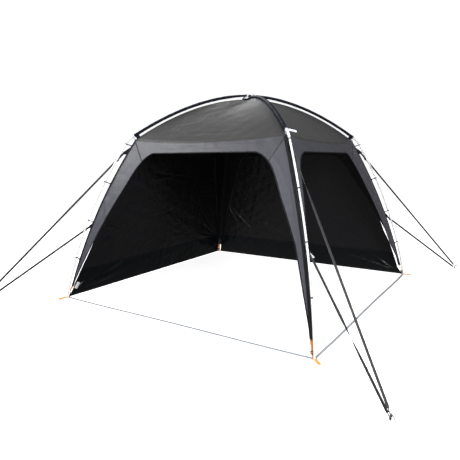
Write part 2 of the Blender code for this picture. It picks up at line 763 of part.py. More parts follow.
def main():
    clear_scene()
    add_roof_arch("roof_arch_left_right", "right")
    add_roof_arch("roof_arch_front_back", "front")
    add_apex_tie()
    for corner in CORNERS:
        add_leg_pole(corner)
        add_elbow(corner)
        add_hub_loop(corner)
        add_leg_panel(corner)
        add_guy_peg(corner)
        add_foot_anchor(corner)
        for level in GUYS:
            add_guy(corner, level)
    for side in SIDES:
        add_roof_panel(side)
        add_eave_band(side)
        if side in WALLED:
            add_wall(side)
        else:
            add_ground_strap(side)


main()
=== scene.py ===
import math

import bmesh
import bpy
import numpy as np
from mathutils import Matrix, Vector


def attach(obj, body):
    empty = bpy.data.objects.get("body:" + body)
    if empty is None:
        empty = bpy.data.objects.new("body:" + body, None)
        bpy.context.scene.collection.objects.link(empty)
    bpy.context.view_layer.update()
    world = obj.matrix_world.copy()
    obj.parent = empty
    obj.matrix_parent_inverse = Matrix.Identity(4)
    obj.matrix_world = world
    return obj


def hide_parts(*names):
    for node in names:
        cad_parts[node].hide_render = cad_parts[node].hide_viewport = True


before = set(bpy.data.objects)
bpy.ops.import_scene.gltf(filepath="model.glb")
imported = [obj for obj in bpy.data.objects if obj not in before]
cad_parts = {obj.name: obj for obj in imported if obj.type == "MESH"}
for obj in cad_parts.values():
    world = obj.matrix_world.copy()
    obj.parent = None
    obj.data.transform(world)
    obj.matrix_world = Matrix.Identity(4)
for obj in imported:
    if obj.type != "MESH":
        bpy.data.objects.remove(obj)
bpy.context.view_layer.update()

# Frame. A place in a corner's upright plane is its distance from the middle and its height.
FOOT_RADIUS = 3.0 / math.sqrt(2)
LEG_TOP = (1.394, 1.715)
LEG_BOW = 0.086
HUB = (1.313, 1.789)
ELBOW_KNEE = (1.3666, 1.7565)
ARCH_TOP = 2.250
ARCH_POWER = 1.85
POLE_RADIUS = 0.0095
ELBOW_RADIUS = 0.0122
SLEEVE_RADIUS = 0.0152
CROSSING_RADIUS = 0.0115
CROSSING_LIFT = {"right": 0.0, "front": -0.0235}
CROSSING_LIFT_REACH = 0.9
CROSSING_PINCH_REACH = 0.35
FOOT_SHIFT = {"front": -0.025, "right": 0.0, "back": 0.0, "left": 0.0}
FOOT_SHIFT_HEIGHT = 1.1

# Canopy
CANOPY_FOOT = (2.104, 0.0)
CANOPY_CORNER = (1.305, 1.742)
CANOPY_BOW = 0.077
SEAM_TOP = ARCH_TOP - 0.046
SEAM_POWER = 1.92
EAVE_SAG = 0.042
ROOF_SLACK = 0.03
ROOF_CUT_LENGTH = 1.16
OPENING_TOP = 1.588
CORNER_CURVE_HEIGHT = 1.36
CORNER_CURVE_END = 0.60
CORNER_KNEE_DROP = 0.03
CURVE_SHARE_IN_LEG = 0.45
CLOTH_FOOT_HEIGHT = 0.13

# Width of a leg panel's wing at some heights, what each wing has more or less than that, and the
# height above the cloth's foot over which the difference grows
WING_WIDTHS = ((0.13, 0.022), (0.45, 0.095), (0.81, 0.165), (1.20, 0.243), (1.36, 0.265))
WING_EXTRA = {
    ("front_left", "left"): 0.0,
    ("front_left", "front"): -0.08,
    ("front_right", "front"): -0.115,
    ("front_right", "right"): 0.12,
    ("back_right", "right"): -0.05,
    ("back_right", "back"): -0.03,
    ("back_left", "back"): -0.03,
    ("back_left", "left"): 0.0,
}
WING_EXTRA_HEIGHT = {"front_left": 0.70, "front_right": 0.32, "back_right": 0.32, "back_left": 0.32}

# Height below which a wall's upright edge hangs free, and its gap to the leg panel there.
# The keys are a wall, for its edge at the back corner, or the other edge's corner.
WALL_SPLITS = {
    "back_right": (0.17, 0.022),
    "back_left": (0.17, 0.004),
    "right": (0.74, 0.022),
    "left": (0.62, 0.009),
}
WALL_SPLIT_RUN = 0.15
WALL_TOE = 0.024
WALL_TOE_HEIGHT = 0.1
WALL_BOTTOM = 0.005
WALL_ZIP_END = 0.62
MUD_SEAM_HEIGHT = 0.305

# Height of each guy's tab, the tab's length and reach, and the height of the guy's ring on the peg
GUYS = {"upper": (1.585, 0.08, 0.045, 0.036), "lower": (0.775, 0.062, 0.024, 0.014)}
GUY_ASIDE = {
    "upper": {"front": 0.016, "right": 0.016, "back": -0.030, "left": -0.030},
    "lower": {"front": 0.024, "right": 0.016, "back": -0.030, "left": -0.030},
}
GUY_PEG_RADIUS = 2.985
GUY_PEG_TURN = 1.8
GUY_PEG_LEAN = 0.012
GUY_PEG_TOP = 0.05
# How many points a guy's webbing has along it, and which of them its slider sits at
GUY_STEPS = 90
SLIDER_STEP = 4

CLIP_HEIGHTS = (1.70, 1.288, 0.868, 0.453)
POLE_JOINTS = (0.0035, 0.575, 1.145, 1.7145)
LOOP_TAIL_SIDE = {"front": 1, "right": 1, "back": -1, "left": -1}

# Feet. Turns and leans of the peg handles are in degrees.
FOOT_STRAP_ASIDE = {"front": -0.010, "right": 0.0, "back": 0.0, "left": 0.0}
FOOT_STRAP_TURN = {"front": 0, "right": 1, "back": 0, "left": -1}
FOOT_PEG_TURN = {"front": 0, "right": -54, "back": 0, "left": 48}
FOOT_PEG_LEAN = {"front": 0, "right": 12, "back": 0, "left": -30}
FOOT_PEG_END = {"front": 0.102, "right": 0.102, "back": 0.102, "left": 0.122}

# Cloth thickness, how far its inner face stands off the drawn surface, and its thread spacing
CLOTH = 0.0012
CLOTH_STAND = 0.0009
THREAD_SPACING = 0.0012

# Width and thickness of each sewn tape, and how far its middle lies inside the cloth's edge
EAVE_TAPE = (0.014, 0.0032, 0.0075)
ROOF_EDGE_TAPE = (0.010, 0.0030, 0.006)
ROOF_SEAM_TAPE = (0.012, 0.0034, 0.007)
OPENING_TAPE = (0.013, 0.0040, 0.0055)
DIAGONAL_TAPE = (0.011, 0.0034, 0.0055)
CORNER_TAPES = ((0.017, 0.0036, 0.0085), (0.012, 0.0030, 0.0215))
WALL_BOTTOM_TAPE = (0.022, 0.0036, 0.011)
WALL_EDGE_TAPE = (0.012, 0.0036, 0.006)
MUD_SEAM_TAPE = (0.010, 0.0036, 0.0)
ZIP_TAPE = (0.016, 0.0030, 0.010)
SEWN_LIFT = 0.0006

# Width and thickness of loose webbings, and the sizes of stitches and zip teeth
GUY_WEBBING = (0.0215, 0.0024)
GUY_RING_WEBBING = (0.008, 0.0028)
TIE_WEBBING = (0.016, 0.0018)
HUB_WEBBING = (0.018, 0.0018)
GROUND_WEBBING = (0.026, 0.0066)
LABEL_TAPE = (0.045, 0.0012)
STITCHES = {"Pitch": 0.0078, "Length": 0.0052, "Width": 0.0012}
ZIP_TEETH = {"Pitch": 0.0032, "Length": 0.0018, "Width": 0.0042}

# Each corner's outward direction. Each side's outward direction, with the corners at its two ends.
CORNERS = {
    "front": np.array((1, -1, 0)) / math.sqrt(2),
    "right": np.array((1, 1, 0)) / math.sqrt(2),
    "back": np.array((-1, 1, 0)) / math.sqrt(2),
    "left": np.array((-1, -1, 0)) / math.sqrt(2),
}
SIDES = {
    "front_left": (np.array((0.0, -1, 0)), "left", "front"),
    "front_right": (np.array((1.0, 0, 0)), "front", "right"),
    "back_right": (np.array((0.0, 1, 0)), "right", "back"),
    "back_left": (np.array((-1.0, 0, 0)), "back", "left"),
}
OPEN_SIDES = ("front_left", "front_right")
WALL_SIDES = ("back_right", "back_left")
UP = np.array((0.0, 0.0, 1.0))


# The shelter's own curves

def circle_through(low, high, bow):
    """Centre and radius of the arc through two places, standing out by bow in its middle."""
    chord = math.dist(low, high)
    radius = (chord * chord / 4 + bow * bow) / (2 * bow)
    middle = ((low[0] + high[0]) / 2, (low[1] + high[1]) / 2)
    inward = ((low[1] - high[1]) / chord, (high[0] - low[0]) / chord)
    reach = radius - bow
    return (middle[0] + inward[0] * reach, middle[1] + inward[1] * reach, radius)


LEG_CIRCLE = circle_through((FOOT_RADIUS, 0.0), LEG_TOP, LEG_BOW)
EDGE_CIRCLE = circle_through(CANOPY_FOOT, CANOPY_CORNER, CANOPY_BOW)


def radius_at(circle, height):
    return circle[0] + np.sqrt(circle[2] ** 2 - (height - circle[1]) ** 2)


def side_at(height):
    """How far a side's cloth stands from the middle."""
    return radius_at(EDGE_CIRCLE, height) / math.sqrt(2)


def turned(way):
    """The anticlockwise level direction beside an outward one."""
    return np.array((-way[1], way[0], 0.0))


def foot_shift(corner, height):
    low = max(1 - height / FOOT_SHIFT_HEIGHT, 0)
    return turned(CORNERS[corner]) * FOOT_SHIFT[corner] * low * low


def in_corner(corner, place, sideways=0.0):
    aside = turned(CORNERS[corner]) * sideways + foot_shift(corner, place[1])
    return CORNERS[corner] * place[0] + aside + UP * place[1]


def on_side(outward, along, height):
    return outward * side_at(height) + turned(outward) * along + UP * height


def smooth(t):
    t = np.clip(t, 0, 1)
    return t * t * (3 - 2 * t)


def arch_height(radius, corner):
    lift = CROSSING_LIFT[corner] * smooth(1 - abs(radius) / CROSSING_LIFT_REACH)
    return ARCH_TOP + lift - (ARCH_TOP - HUB[1]) * (abs(radius) / HUB[0]) ** ARCH_POWER


def sleeve_radius(radius):
    pinch = smooth(1 - abs(radius) / CROSSING_PINCH_REACH)
    return SLEEVE_RADIUS - (SLEEVE_RADIUS - CROSSING_RADIUS) * pinch


def seam_height(radius):
    """Height of the seam between two roof cloths, under an arch."""
    return SEAM_TOP - (SEAM_TOP - CANOPY_CORNER[1]) * (abs(radius) / CANOPY_CORNER[0]) ** SEAM_POWER


def blend(a, b, t):
    return tuple(x + (y - x) * t for x, y in zip(a, b))


def steps(count):
    return [i / count for i in range(count + 1)]


def wing_width(side, corner, height):
    for (low, narrow), (high, wide) in zip(WING_WIDTHS, WING_WIDTHS[1:]):
        if height <= high:
            break
    share = (height - low) / (high - low)
    grown = min(max(height - CLOTH_FOOT_HEIGHT, 0) / WING_EXTRA_HEIGHT[side], 1.0)
    width = narrow + (wide - narrow) * share + WING_EXTRA[side, corner] * grown
    return max(width, WING_WIDTHS[0][1])


def opening_edge(side, corner, height):
    return (side_at(height) - wing_width(side, corner, height), height)


def opening_corner(side, corner, t):
    """The opening's rounded top corner, from its upright edge (0) to its level one (1)."""
    start = opening_edge(side, corner, CORNER_CURVE_HEIGHT)
    below = opening_edge(side, corner, CORNER_CURVE_HEIGHT - 0.1)
    knee_height = OPENING_TOP - CORNER_KNEE_DROP
    lean = (start[0] - below[0]) / (start[1] - below[1])
    knee = (start[0] + lean * (knee_height - start[1]), knee_height)
    end = (CORNER_CURVE_END - 0.6 * WING_EXTRA[side, corner], OPENING_TOP)
    return blend(blend(start, knee, t), blend(knee, end, t), t)


def wing_inner(side, corner, t):
    """A wing's edge at the opening, from its foot (0) to where the eave band begins (1)."""
    straight = 0.8
    if t < straight:
        rise = (CORNER_CURVE_HEIGHT - CLOTH_FOOT_HEIGHT) * t / straight
        return opening_edge(side, corner, CLOTH_FOOT_HEIGHT + rise)
    return opening_corner(side, corner, CURVE_SHARE_IN_LEG * (t - straight) / 0.2)


def wing_outer(t):
    height = CLOTH_FOOT_HEIGHT + (CANOPY_CORNER[1] - CLOTH_FOOT_HEIGHT) * t
    return (side_at(height), height)


def eave_place(u):
    return (u * CANOPY_CORNER[0] / math.sqrt(2), CANOPY_CORNER[1] - EAVE_SAG * (1 - u * u))


def band_bottom(side, u):
    """The eave band's lower edge, from one end (-1) to the other (1)."""
    straight = 0.6
    corner = SIDES[side][1] if u < 0 else SIDES[side][2]
    if abs(u) <= straight:
        return (math.copysign(opening_corner(side, corner, 1.0)[0] * abs(u) / straight, u), OPENING_TOP)
    share = CURVE_SHARE_IN_LEG + (1 - CURVE_SHARE_IN_LEG) * (1 - abs(u)) / 0.4
    along, height = opening_corner(side, corner, share)
    return (math.copysign(along, u), height)


def wall_edge(side, corner, height):
    split, gap = WALL_SPLITS[side if corner == "back" else corner]
    along = opening_edge(side, corner, height)[0]
    free = min(max(split - height, 0) / WALL_SPLIT_RUN, 1.0) * min(height / WALL_TOE_HEIGHT, 1.0)
    toe = 0 if corner == "back" else WALL_TOE * max(1 - height / WALL_TOE_HEIGHT, 0)
    return (along - gap * free + toe, height)


# Shader node groups, shared by the cloths, webbings and hard parts

def wire(tree, kind, put=None, **settings):
    """A node with its settings, and its inputs filled with values or other nodes' outputs."""
    node = tree.nodes.new(kind)
    for key, value in settings.items():
        setattr(node, key, value)
    for key, value in (put or {}).items():
        if isinstance(value, bpy.types.NodeSocket):
            tree.links.new(value, node.inputs[key])
        else:
            node.inputs[key].default_value = value
    return node


def sums(tree, operation, *values):
    return wire(tree, "ShaderNodeMath", dict(enumerate(values)), operation=operation).outputs[0]


def noise(tree, place, scale, detail=2.0, rough=0.5, **settings):
    put = {"Vector": place, "Scale": scale, "Detail": detail, "Roughness": rough}
    return wire(tree, "ShaderNodeTexNoise", put, **settings).outputs[0]


def stretched(tree, place, scale):
    put = {"Vector": place, "Scale": scale}
    return wire(tree, "ShaderNodeMapping", put).outputs[0]


def ranged(tree, value, low, high, to_low, to_high):
    put = {0: value, 1: low, 2: high, 3: to_low, 4: to_high}
    return wire(tree, "ShaderNodeMapRange", put).outputs[0]


def mixed(tree, share, a, b):
    """A colour between two, each given as three numbers or as another node's output."""
    a, b = (c if isinstance(c, bpy.types.NodeSocket) else (*c, 1.0) for c in (a, b))
    return wire(tree, "ShaderNodeMix", {0: share, 6: a, 7: b}, data_type="RGBA").outputs[2]


def raised(tree, height, strength, distance, normal=None):
    put = {"Height": height, "Strength": strength, "Distance": distance}
    if normal is not None:
        put["Normal"] = normal
    return wire(tree, "ShaderNodeBump", put).outputs[0]


def use(tree, group, put):
    return wire(tree, "ShaderNodeGroup", put, node_tree=group).outputs


def new_group(name, inputs, outputs):
    tree = bpy.data.node_groups.new(name, "ShaderNodeTree")
    for label, kind, value in inputs:
        socket = tree.interface.new_socket(label, in_out="INPUT", socket_type="NodeSocket" + kind)
        if value is not None:
            socket.default_value = value
    for label, kind in outputs:
        tree.interface.new_socket(label, in_out="OUTPUT", socket_type="NodeSocket" + kind)
    return tree, tree.nodes.new("NodeGroupInput").outputs, tree.nodes.new("NodeGroupOutput").inputs


def make_weave():
    """Plain weave with uneven threads, on a cloth's own flat measure."""
    tree, given, out = new_group(
        "plain_weave",
        [("Flat", "Vector", None), ("Thread", "Float", THREAD_SPACING), ("Slub", "Float", 0.4)],
        [("Height", "Float"), ("Shade", "Float")],
    )
    parts = wire(tree, "ShaderNodeSeparateXYZ", {0: given["Flat"]}).outputs
    turn = sums(tree, "DIVIDE", math.pi, given["Thread"])
    warp = sums(tree, "SINE", sums(tree, "MULTIPLY", parts["X"], turn))
    weft = sums(tree, "SINE", sums(tree, "MULTIPLY", parts["Y"], turn))
    cross = sums(tree, "MULTIPLY", warp, weft)
    level = noise(tree, stretched(tree, given["Flat"], (40.0, 900.0, 1.0)), 1.0, 2.0)
    upright = noise(tree, stretched(tree, given["Flat"], (900.0, 40.0, 1.0)), 1.0, 2.0)
    slub = sums(tree, "ADD", level, upright)
    uneven = sums(tree, "MULTIPLY", slub, given["Slub"])
    tree.links.new(sums(tree, "MULTIPLY_ADD", cross, 0.5, uneven), out["Height"])
    tree.links.new(slub, out["Shade"])
    return tree


def make_crumple():
    """Creases and soft dents left by packing, cloudy tone with painted shade in the dents' hollows, and dust
    up to a low height.
    """
    tree, given, out = new_group(
        "packed_creases",
        [("Place", "Vector", None), ("Crease", "Float", 6.0), ("Dust", "Float", 0.3)],
        [("Height", "Float"), ("Shade", "Float"), ("Dust", "Float")],
    )
    dusty_height = 0.42
    place = given["Place"]
    ridges = noise(tree, place, given["Crease"], 3.0, 0.45, noise_type="RIDGED_MULTIFRACTAL")
    dents = noise(tree, place, 14.0, 3.0, 0.55)
    fine = noise(tree, place, 70.0, 2.0, 0.5)
    height = sums(tree, "MULTIPLY_ADD", ridges, 0.5, dents)
    tree.links.new(sums(tree, "MULTIPLY_ADD", fine, 0.12, height), out["Height"])
    cloudy = noise(tree, place, 1.7, 4.0, 0.6)
    # Shade is cloudy tone at random, plus painted shade: the dents that sink the surface also darken its
    # colour in their hollows.
    tree.links.new(sums(tree, "MULTIPLY_ADD", dents, 0.35, cloudy), out["Shade"])
    high = wire(tree, "ShaderNodeSeparateXYZ", {0: place}).outputs["Z"]
    low = ranged(tree, high, dusty_height, 0.0, 0.0, 1.0)
    specks = noise(tree, place, 32.0, 5.0, 0.7)
    dust = sums(tree, "MULTIPLY", sums(tree, "POWER", low, 2.0), specks)
    tree.links.new(sums(tree, "MULTIPLY", dust, given["Dust"]), out["Dust"])
    return tree


def make_webbing():
    """Ribbed narrow weave of a webbing, on its own width and length, with worn parts."""
    tree, given, out = new_group(
        "ribbed_webbing",
        [("Flat", "Vector", None), ("Rib", "Float", 0.0016)],
        [("Height", "Float"), ("Shade", "Float")],
    )
    parts = wire(tree, "ShaderNodeSeparateXYZ", {0: given["Flat"]}).outputs
    turn = sums(tree, "DIVIDE", 2 * math.pi, given["Rib"])
    ribs = sums(tree, "MULTIPLY", parts["Y"], turn)
    rib = sums(tree, "SINE", ribs)
    row = sums(tree, "SINE", sums(tree, "MULTIPLY", parts["X"], 4200.0))
    cross = sums(tree, "SINE", sums(tree, "ADD", ribs, row))
    fibre = noise(tree, stretched(tree, given["Flat"], (900.0, 90.0, 1.0)), 1.0, 3.0)
    height = sums(tree, "MULTIPLY_ADD", cross, 0.35, sums(tree, "MULTIPLY", rib, 0.3))
    tree.links.new(sums(tree, "ADD", height, fibre), out["Height"])
    worn = noise(tree, stretched(tree, given["Flat"], (25.0, 6.0, 1.0)), 1.0, 4.0, 0.6)
    tree.links.new(sums(tree, "MULTIPLY_ADD", fibre, 0.4, worn), out["Shade"])
    return tree


def make_hard_wear():
    """Faint orange peel, uneven shade and rubbed marks on painted steel and moulded parts."""
    tree, given, out = new_group(
        "handled_surface",
        [("Place", "Vector", None), ("Grain", "Float", 900.0)],
        [("Height", "Float"), ("Shade", "Float"), ("Marks", "Float")],
    )
    place = given["Place"]
    tree.links.new(noise(tree, place, given["Grain"], 2.0), out["Height"])
    tree.links.new(noise(tree, place, 18.0, 4.0, 0.6), out["Shade"])
    rubs = noise(tree, stretched(tree, place, (260.0, 260.0, 22.0)), 1.0, 3.0, 0.65)
    tree.links.new(ranged(tree, rubs, 0.56, 0.72, 0.0, 1.0), out["Marks"])
    return tree


WEAVE = make_weave()
CRUMPLE = make_crumple()
RIBS = make_webbing()
WEAR = make_hard_wear()


def start_material(name, sheen=0.0, specular=0.5, metallic=0.0, coat=0.0):
    material = bpy.data.materials.new(name)
    material.use_nodes = True
    tree = material.node_tree
    shader = tree.nodes["Principled BSDF"].inputs
    shader["Sheen Weight"].default_value = sheen
    shader["Sheen Roughness"].default_value = 0.45
    shader["Specular IOR Level"].default_value = specular
    shader["Metallic"].default_value = metallic
    shader["Coat Weight"].default_value = coat
    places = tree.nodes.new("ShaderNodeTexCoord").outputs
    return material, tree, shader, places


def cloth_finish(name, pale, deep, rough, crease=6.0, crumple=0.5, depth=0.006, dust=0.15, **look):
    """A woven cloth: two close colours, threads, packing creases and dust near the ground."""
    material, tree, shader, places = start_material(name, **look)
    weave = use(tree, WEAVE, {"Flat": places["UV"], "Thread": THREAD_SPACING})
    worn = use(tree, CRUMPLE, {"Place": places["Object"], "Crease": crease, "Dust": dust})
    # The crumple's Shade picks between the deep and the pale colour; its dent part is painted shade in the
    # hollows.
    share = ranged(tree, worn["Shade"], 0.45, 0.95, 0.0, 1.0)
    base = mixed(tree, share, deep, pale)
    threads = ranged(tree, weave["Shade"], 0.6, 1.4, 0.0, 0.35)
    thread_colour = tuple(c * 1.35 for c in pale)
    dust_colour = (0.30, 0.27, 0.23)
    colour = mixed(tree, worn["Dust"], mixed(tree, threads, base, thread_colour), dust_colour)
    tree.links.new(colour, shader["Base Color"])
    tree.links.new(ranged(tree, worn["Shade"], 0.4, 1.0, rough - 0.05, rough + 0.07), shader["Roughness"])
    soft = raised(tree, worn["Height"], crumple, depth)
    tree.links.new(raised(tree, weave["Height"], 0.25, 0.0003, soft), shader["Normal"])
    return material


def webbing_finish(name, pale, deep, rough, rib=0.0016, **look):
    """A ribbed webbing or thread in two close colours."""
    material, tree, shader, places = start_material(name, **look)
    ribs = use(tree, RIBS, {"Flat": places["UV"], "Rib": rib})
    colour = mixed(tree, ranged(tree, ribs["Shade"], 0.45, 0.95, 0.0, 1.0), deep, pale)
    tree.links.new(colour, shader["Base Color"])
    tree.links.new(ranged(tree, ribs["Shade"], 0.4, 1.0, rough - 0.06, rough + 0.06), shader["Roughness"])
    tree.links.new(raised(tree, ribs["Height"], 0.6, 0.0004), shader["Normal"])
    return material


def hard_finish(name, colour, worn, rough, grain=900.0, **look):
    """Painted, zinc coated or moulded parts, with rubbed marks in a second colour."""
    material, tree, shader, places = start_material(name, **look)
    wear = use(tree, WEAR, {"Place": places["Object"], "Grain": grain})
    shade = mixed(tree, ranged(tree, wear["Shade"], 0.35, 0.75, 0.0, 0.3), colour, worn)
    rubbed = sums(tree, "MULTIPLY", wear["Marks"], 0.35)
    tree.links.new(mixed(tree, rubbed, shade, worn), shader["Base Color"])
    tree.links.new(ranged(tree, wear["Shade"], 0.3, 0.8, rough - 0.06, rough + 0.12), shader["Roughness"])
    tree.links.new(raised(tree, wear["Height"], 0.12, 0.0003), shader["Normal"])
    return material


def net_finish(name, pale, deep, rough, mesh=0.0030, cover=0.05):
    """A fine open net: crossed threads with see-through holes between them."""
    material, tree, shader, places = start_material(name)
    parts = wire(tree, "ShaderNodeSeparateXYZ", {0: places["UV"]}).outputs
    turn = math.pi / mesh
    lines = []
    for axis in ("X", "Y"):
        wave = sums(tree, "ABSOLUTE", sums(tree, "SINE", sums(tree, "MULTIPLY", parts[axis], turn)))
        lines.append(ranged(tree, wave, cover * 0.6, cover, 1.0, 0.0))
    threads = sums(tree, "MAXIMUM", *lines)
    tree.links.new(threads, shader["Alpha"])
    worn = noise(tree, places["Object"], 30.0, 3.0)
    tree.links.new(mixed(tree, worn, deep, pale), shader["Base Color"])
    tree.links.new(ranged(tree, worn, 0.3, 0.7, rough - 0.05, rough + 0.05), shader["Roughness"])
    tree.links.new(raised(tree, threads, 0.5, 0.0003), shader["Normal"])
    return material


ROOF = cloth_finish(
    "roof_cloth", (0.0420, 0.0416, 0.0424), (0.0300, 0.0300, 0.0314), 0.44, sheen=0.03, specular=0.36
)
LEG = cloth_finish("leg_cloth", (0.0520, 0.0535, 0.0690), (0.0378, 0.0388, 0.0505), 0.52, sheen=0.06)
# The eave bands' cloth is the leg cloth's colour darkened by about a fifth: painted shade on the bands.
EAVE_PAINTED_SHADE = cloth_finish(
    "eave_cloth_painted_shade", (0.0420, 0.0426, 0.0560), (0.0310, 0.0315, 0.0415), 0.50, sheen=0.06
)
WALL = cloth_finish(
    "wall_cloth", (0.0094, 0.0091, 0.0106), (0.0054, 0.0054, 0.0066), 0.34,
    crease=9.0, crumple=1.0, depth=0.012, dust=0.03, specular=0.22,
)
MUD_BAND = cloth_finish(
    "mud_band_cloth", (0.0028, 0.0038, 0.0054), (0.0018, 0.0025, 0.0036), 0.28,
    crumple=0.9, depth=0.012, dust=0.03, specular=0.17,
)
SLEEVE = cloth_finish("sleeve_cloth", (0.0076, 0.0094, 0.0168), (0.0048, 0.0060, 0.0112), 0.6, specular=0.1)
# The inner faces of the roof, eave bands and leg panels take this colour, far darker than their outer faces.
INSIDE = cloth_finish(
    "dark_inner_faces", (0.0082, 0.0082, 0.0094), (0.0034, 0.0036, 0.0042), 0.45, dust=0.03, specular=0.12
)
NET = net_finish("strip_net", (0.30, 0.30, 0.31), (0.20, 0.20, 0.21), 0.6)
HEM = cloth_finish(
    "hem_cloth", (0.0095, 0.0100, 0.0125), (0.0062, 0.0066, 0.0085), 0.55, dust=0.05, specular=0.15
)
SEAM = cloth_finish(
    "seam_cloth", (0.0180, 0.0180, 0.0198), (0.0120, 0.0120, 0.0136), 0.5, sheen=0.03, specular=0.25
)
THREAD = webbing_finish("dark_thread", (0.05, 0.05, 0.055), (0.03, 0.03, 0.034), 0.6, rib=0.0008)
BLACK_WEBBING = webbing_finish(
    "black_webbing_ribbed", (0.0196, 0.0196, 0.0210), (0.0112, 0.0112, 0.0126), 0.55, sheen=0.15
)
PALE_WEBBING = webbing_finish(
    "pale_webbing_ribbed", (0.400, 0.426, 0.456), (0.300, 0.326, 0.356), 0.6, sheen=0.1
)
WHITE_WEBBING = webbing_finish("loop_webbing_ribbed", (0.80, 0.83, 0.87), (0.62, 0.67, 0.74), 0.6, sheen=0.2)
ORANGE_WEBBING = webbing_finish(
    "orange_webbing_ribbed", (0.950, 0.350, 0.085), (0.800, 0.270, 0.058), 0.6, sheen=0.1
)
WHITE_STEEL = hard_finish("white_coat", (0.97, 0.97, 0.972), (0.84, 0.84, 0.85), 0.30, coat=0.1)
BLACK_PLASTIC = hard_finish(
    "black_moulding", (0.012, 0.012, 0.013), (0.035, 0.035, 0.037), 0.42, grain=1500.0
)
ORANGE_PLASTIC = hard_finish("orange_moulding", (0.98, 0.40, 0.10), (0.80, 0.34, 0.12), 0.4, grain=1500.0)
PEG_STEEL = hard_finish("peg_zinc", (0.46, 0.46, 0.47), (0.25, 0.25, 0.26), 0.38, metallic=1.0)
ZIP = hard_finish("zip_coil", (0.016, 0.016, 0.018), (0.03, 0.03, 0.032), 0.4, grain=2500.0)
LABEL = cloth_finish("blank_label", (0.96, 0.96, 0.96), (0.90, 0.90, 0.90), 0.5, crumple=0.1, dust=0.0)


# Shapes: a shape is its points, its faces and the flat measure of each face's corners

def unit(vectors):
    return vectors / np.maximum(np.linalg.norm(vectors, axis=-1, keepdims=True), 1e-9)


def tangents(path):
    return unit(np.gradient(path, axis=0))


def lengths(path):
    return np.concatenate(([0.0], np.cumsum(np.linalg.norm(np.diff(path, axis=0), axis=1))))


def swept(path, section, side, closed=False, square=True):
    """A closed section carried along a path. Its first measure follows side, its second stands off."""
    path = np.array(path, float)
    count = len(path)
    ahead = tangents(path)
    if closed:
        ahead = unit(np.roll(path, -1, 0) - np.roll(path, 1, 0))
    side = np.broadcast_to(np.array(side, float), path.shape)
    rise = unit(np.cross(ahead, side))
    if square:
        side = np.cross(rise, ahead)
    section = np.array(section, float)
    if section.ndim == 2:
        section = np.broadcast_to(section, (count, *section.shape))
    size = section.shape[1]
    points = path[:, None] + side[:, None] * section[..., :1] + rise[:, None] * section[..., 1:]
    rim = lengths(np.vstack((section[0], section[0][:1])))
    run = lengths(np.vstack((path, path[:1])) if closed else path)
    faces, flats = [], []
    for i in range(count if closed else count - 1):
        n = (i + 1) % count
        for j in range(size):
            k = (j + 1) % size
            faces.append((i * size + j, i * size + k, n * size + k, n * size + j))
            u, v = (rim[j], rim[j + 1]), (run[i], run[i + 1])
            flats.append(((u[0], v[0]), (u[1], v[0]), (u[1], v[1]), (u[0], v[1])))
    if not closed:
        for row in (0, count - 1):
            faces.append(tuple(row * size + j for j in range(size)))
            flats.append(tuple((float(x), float(y)) for x, y in section[row]))
    return points.reshape(-1, 3), faces, flats


def round_ring(radius, sides=20):
    turn = 2 * math.pi * np.arange(sides) / sides
    return np.stack((radius * np.cos(turn), radius * np.sin(turn)), 1)


def tape(width, thick):
    w, t = width / 2, thick / 2
    r = min(t * 1.2, w * 0.5)
    return [(-w, 0), (-w + r, -t), (w - r, -t), (w, 0), (w - r, t), (-w + r, t)]


def together(shapes):
    points, faces, flats = [], [], []
    shift = 0
    for more_points, more_faces, more_flats in shapes:
        points.append(np.array(more_points))
        faces += [tuple(index + shift for index in face) for face in more_faces]
        flats += more_flats
        shift += len(more_points)
    return np.vstack(points), faces, flats


def new_object(name, data):
    thing = bpy.data.objects.new(name, data)
    bpy.context.scene.collection.objects.link(thing)
    return thing


def finish_piece(thing, nodes=()):
    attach(thing, "root")
    if nodes:
        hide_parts(*nodes)
    return thing


def add_piece(name, shapes, finish, nodes=(), angle=40, open_cloth=False):
    """One object from its shapes, with its faces turned outwards and its flat measure as a UV map."""
    points, faces, flats = together(shapes)
    mesh = bpy.data.meshes.new(name)
    mesh.from_pydata([tuple(p) for p in points], [], faces)
    layer = mesh.uv_layers.new(name="flat").data
    layer.foreach_set("uv", [x for flat in flats for place in flat for x in place])
    if not open_cloth:
        work = bmesh.new()
        work.from_mesh(mesh)
        bmesh.ops.recalc_face_normals(work, faces=work.faces)
        work.to_mesh(mesh)
        work.free()
    mesh.materials.append(finish)
    mesh.shade_smooth()
    if not open_cloth:
        mesh.set_sharp_from_angle(angle=math.radians(angle))
    return finish_piece(new_object(name, mesh), nodes)


# Cloths: arrays of points in rows, with their flat measure

def folded(flat, folds):
    """How far a cloth stands off for a list of folds: from place to place, with width and depth."""
    push = np.zeros(flat.shape[:2])
    for x0, y0, x1, y1, wide, deep in folds:
        dx, dy = x1 - x0, y1 - y0
        t = ((flat[..., 0] - x0) * dx + (flat[..., 1] - y0) * dy) / (dx * dx + dy * dy)
        t = np.clip(t, 0, 1)
        away = np.hypot(flat[..., 0] - x0 - t * dx, flat[..., 1] - y0 - t * dy)
        size = wide * (0.55 + 0.9 * t)
        push += deep * np.exp(-(away / size) ** 2) * smooth(t / 0.15) * (1 - t) ** 0.7
    return push


def fanned(x, y, spread, count, reach, wide, deep, seed):
    """Folds that run out from a pulled point."""
    rng = np.random.default_rng(seed)
    folds = []
    for i in range(count):
        turn = math.radians(spread[0] + (spread[1] - spread[0]) * (i + rng.uniform(0.2, 0.8)) / count)
        far = reach * rng.uniform(0.55, 1.0)
        sign = 1 if i % 2 else -0.8
        end = (x + far * math.cos(turn), y + far * math.sin(turn))
        folds.append((x, y, *end, wide * rng.uniform(0.7, 1.3), sign * deep * rng.uniform(0.6, 1.1)))
    return folds


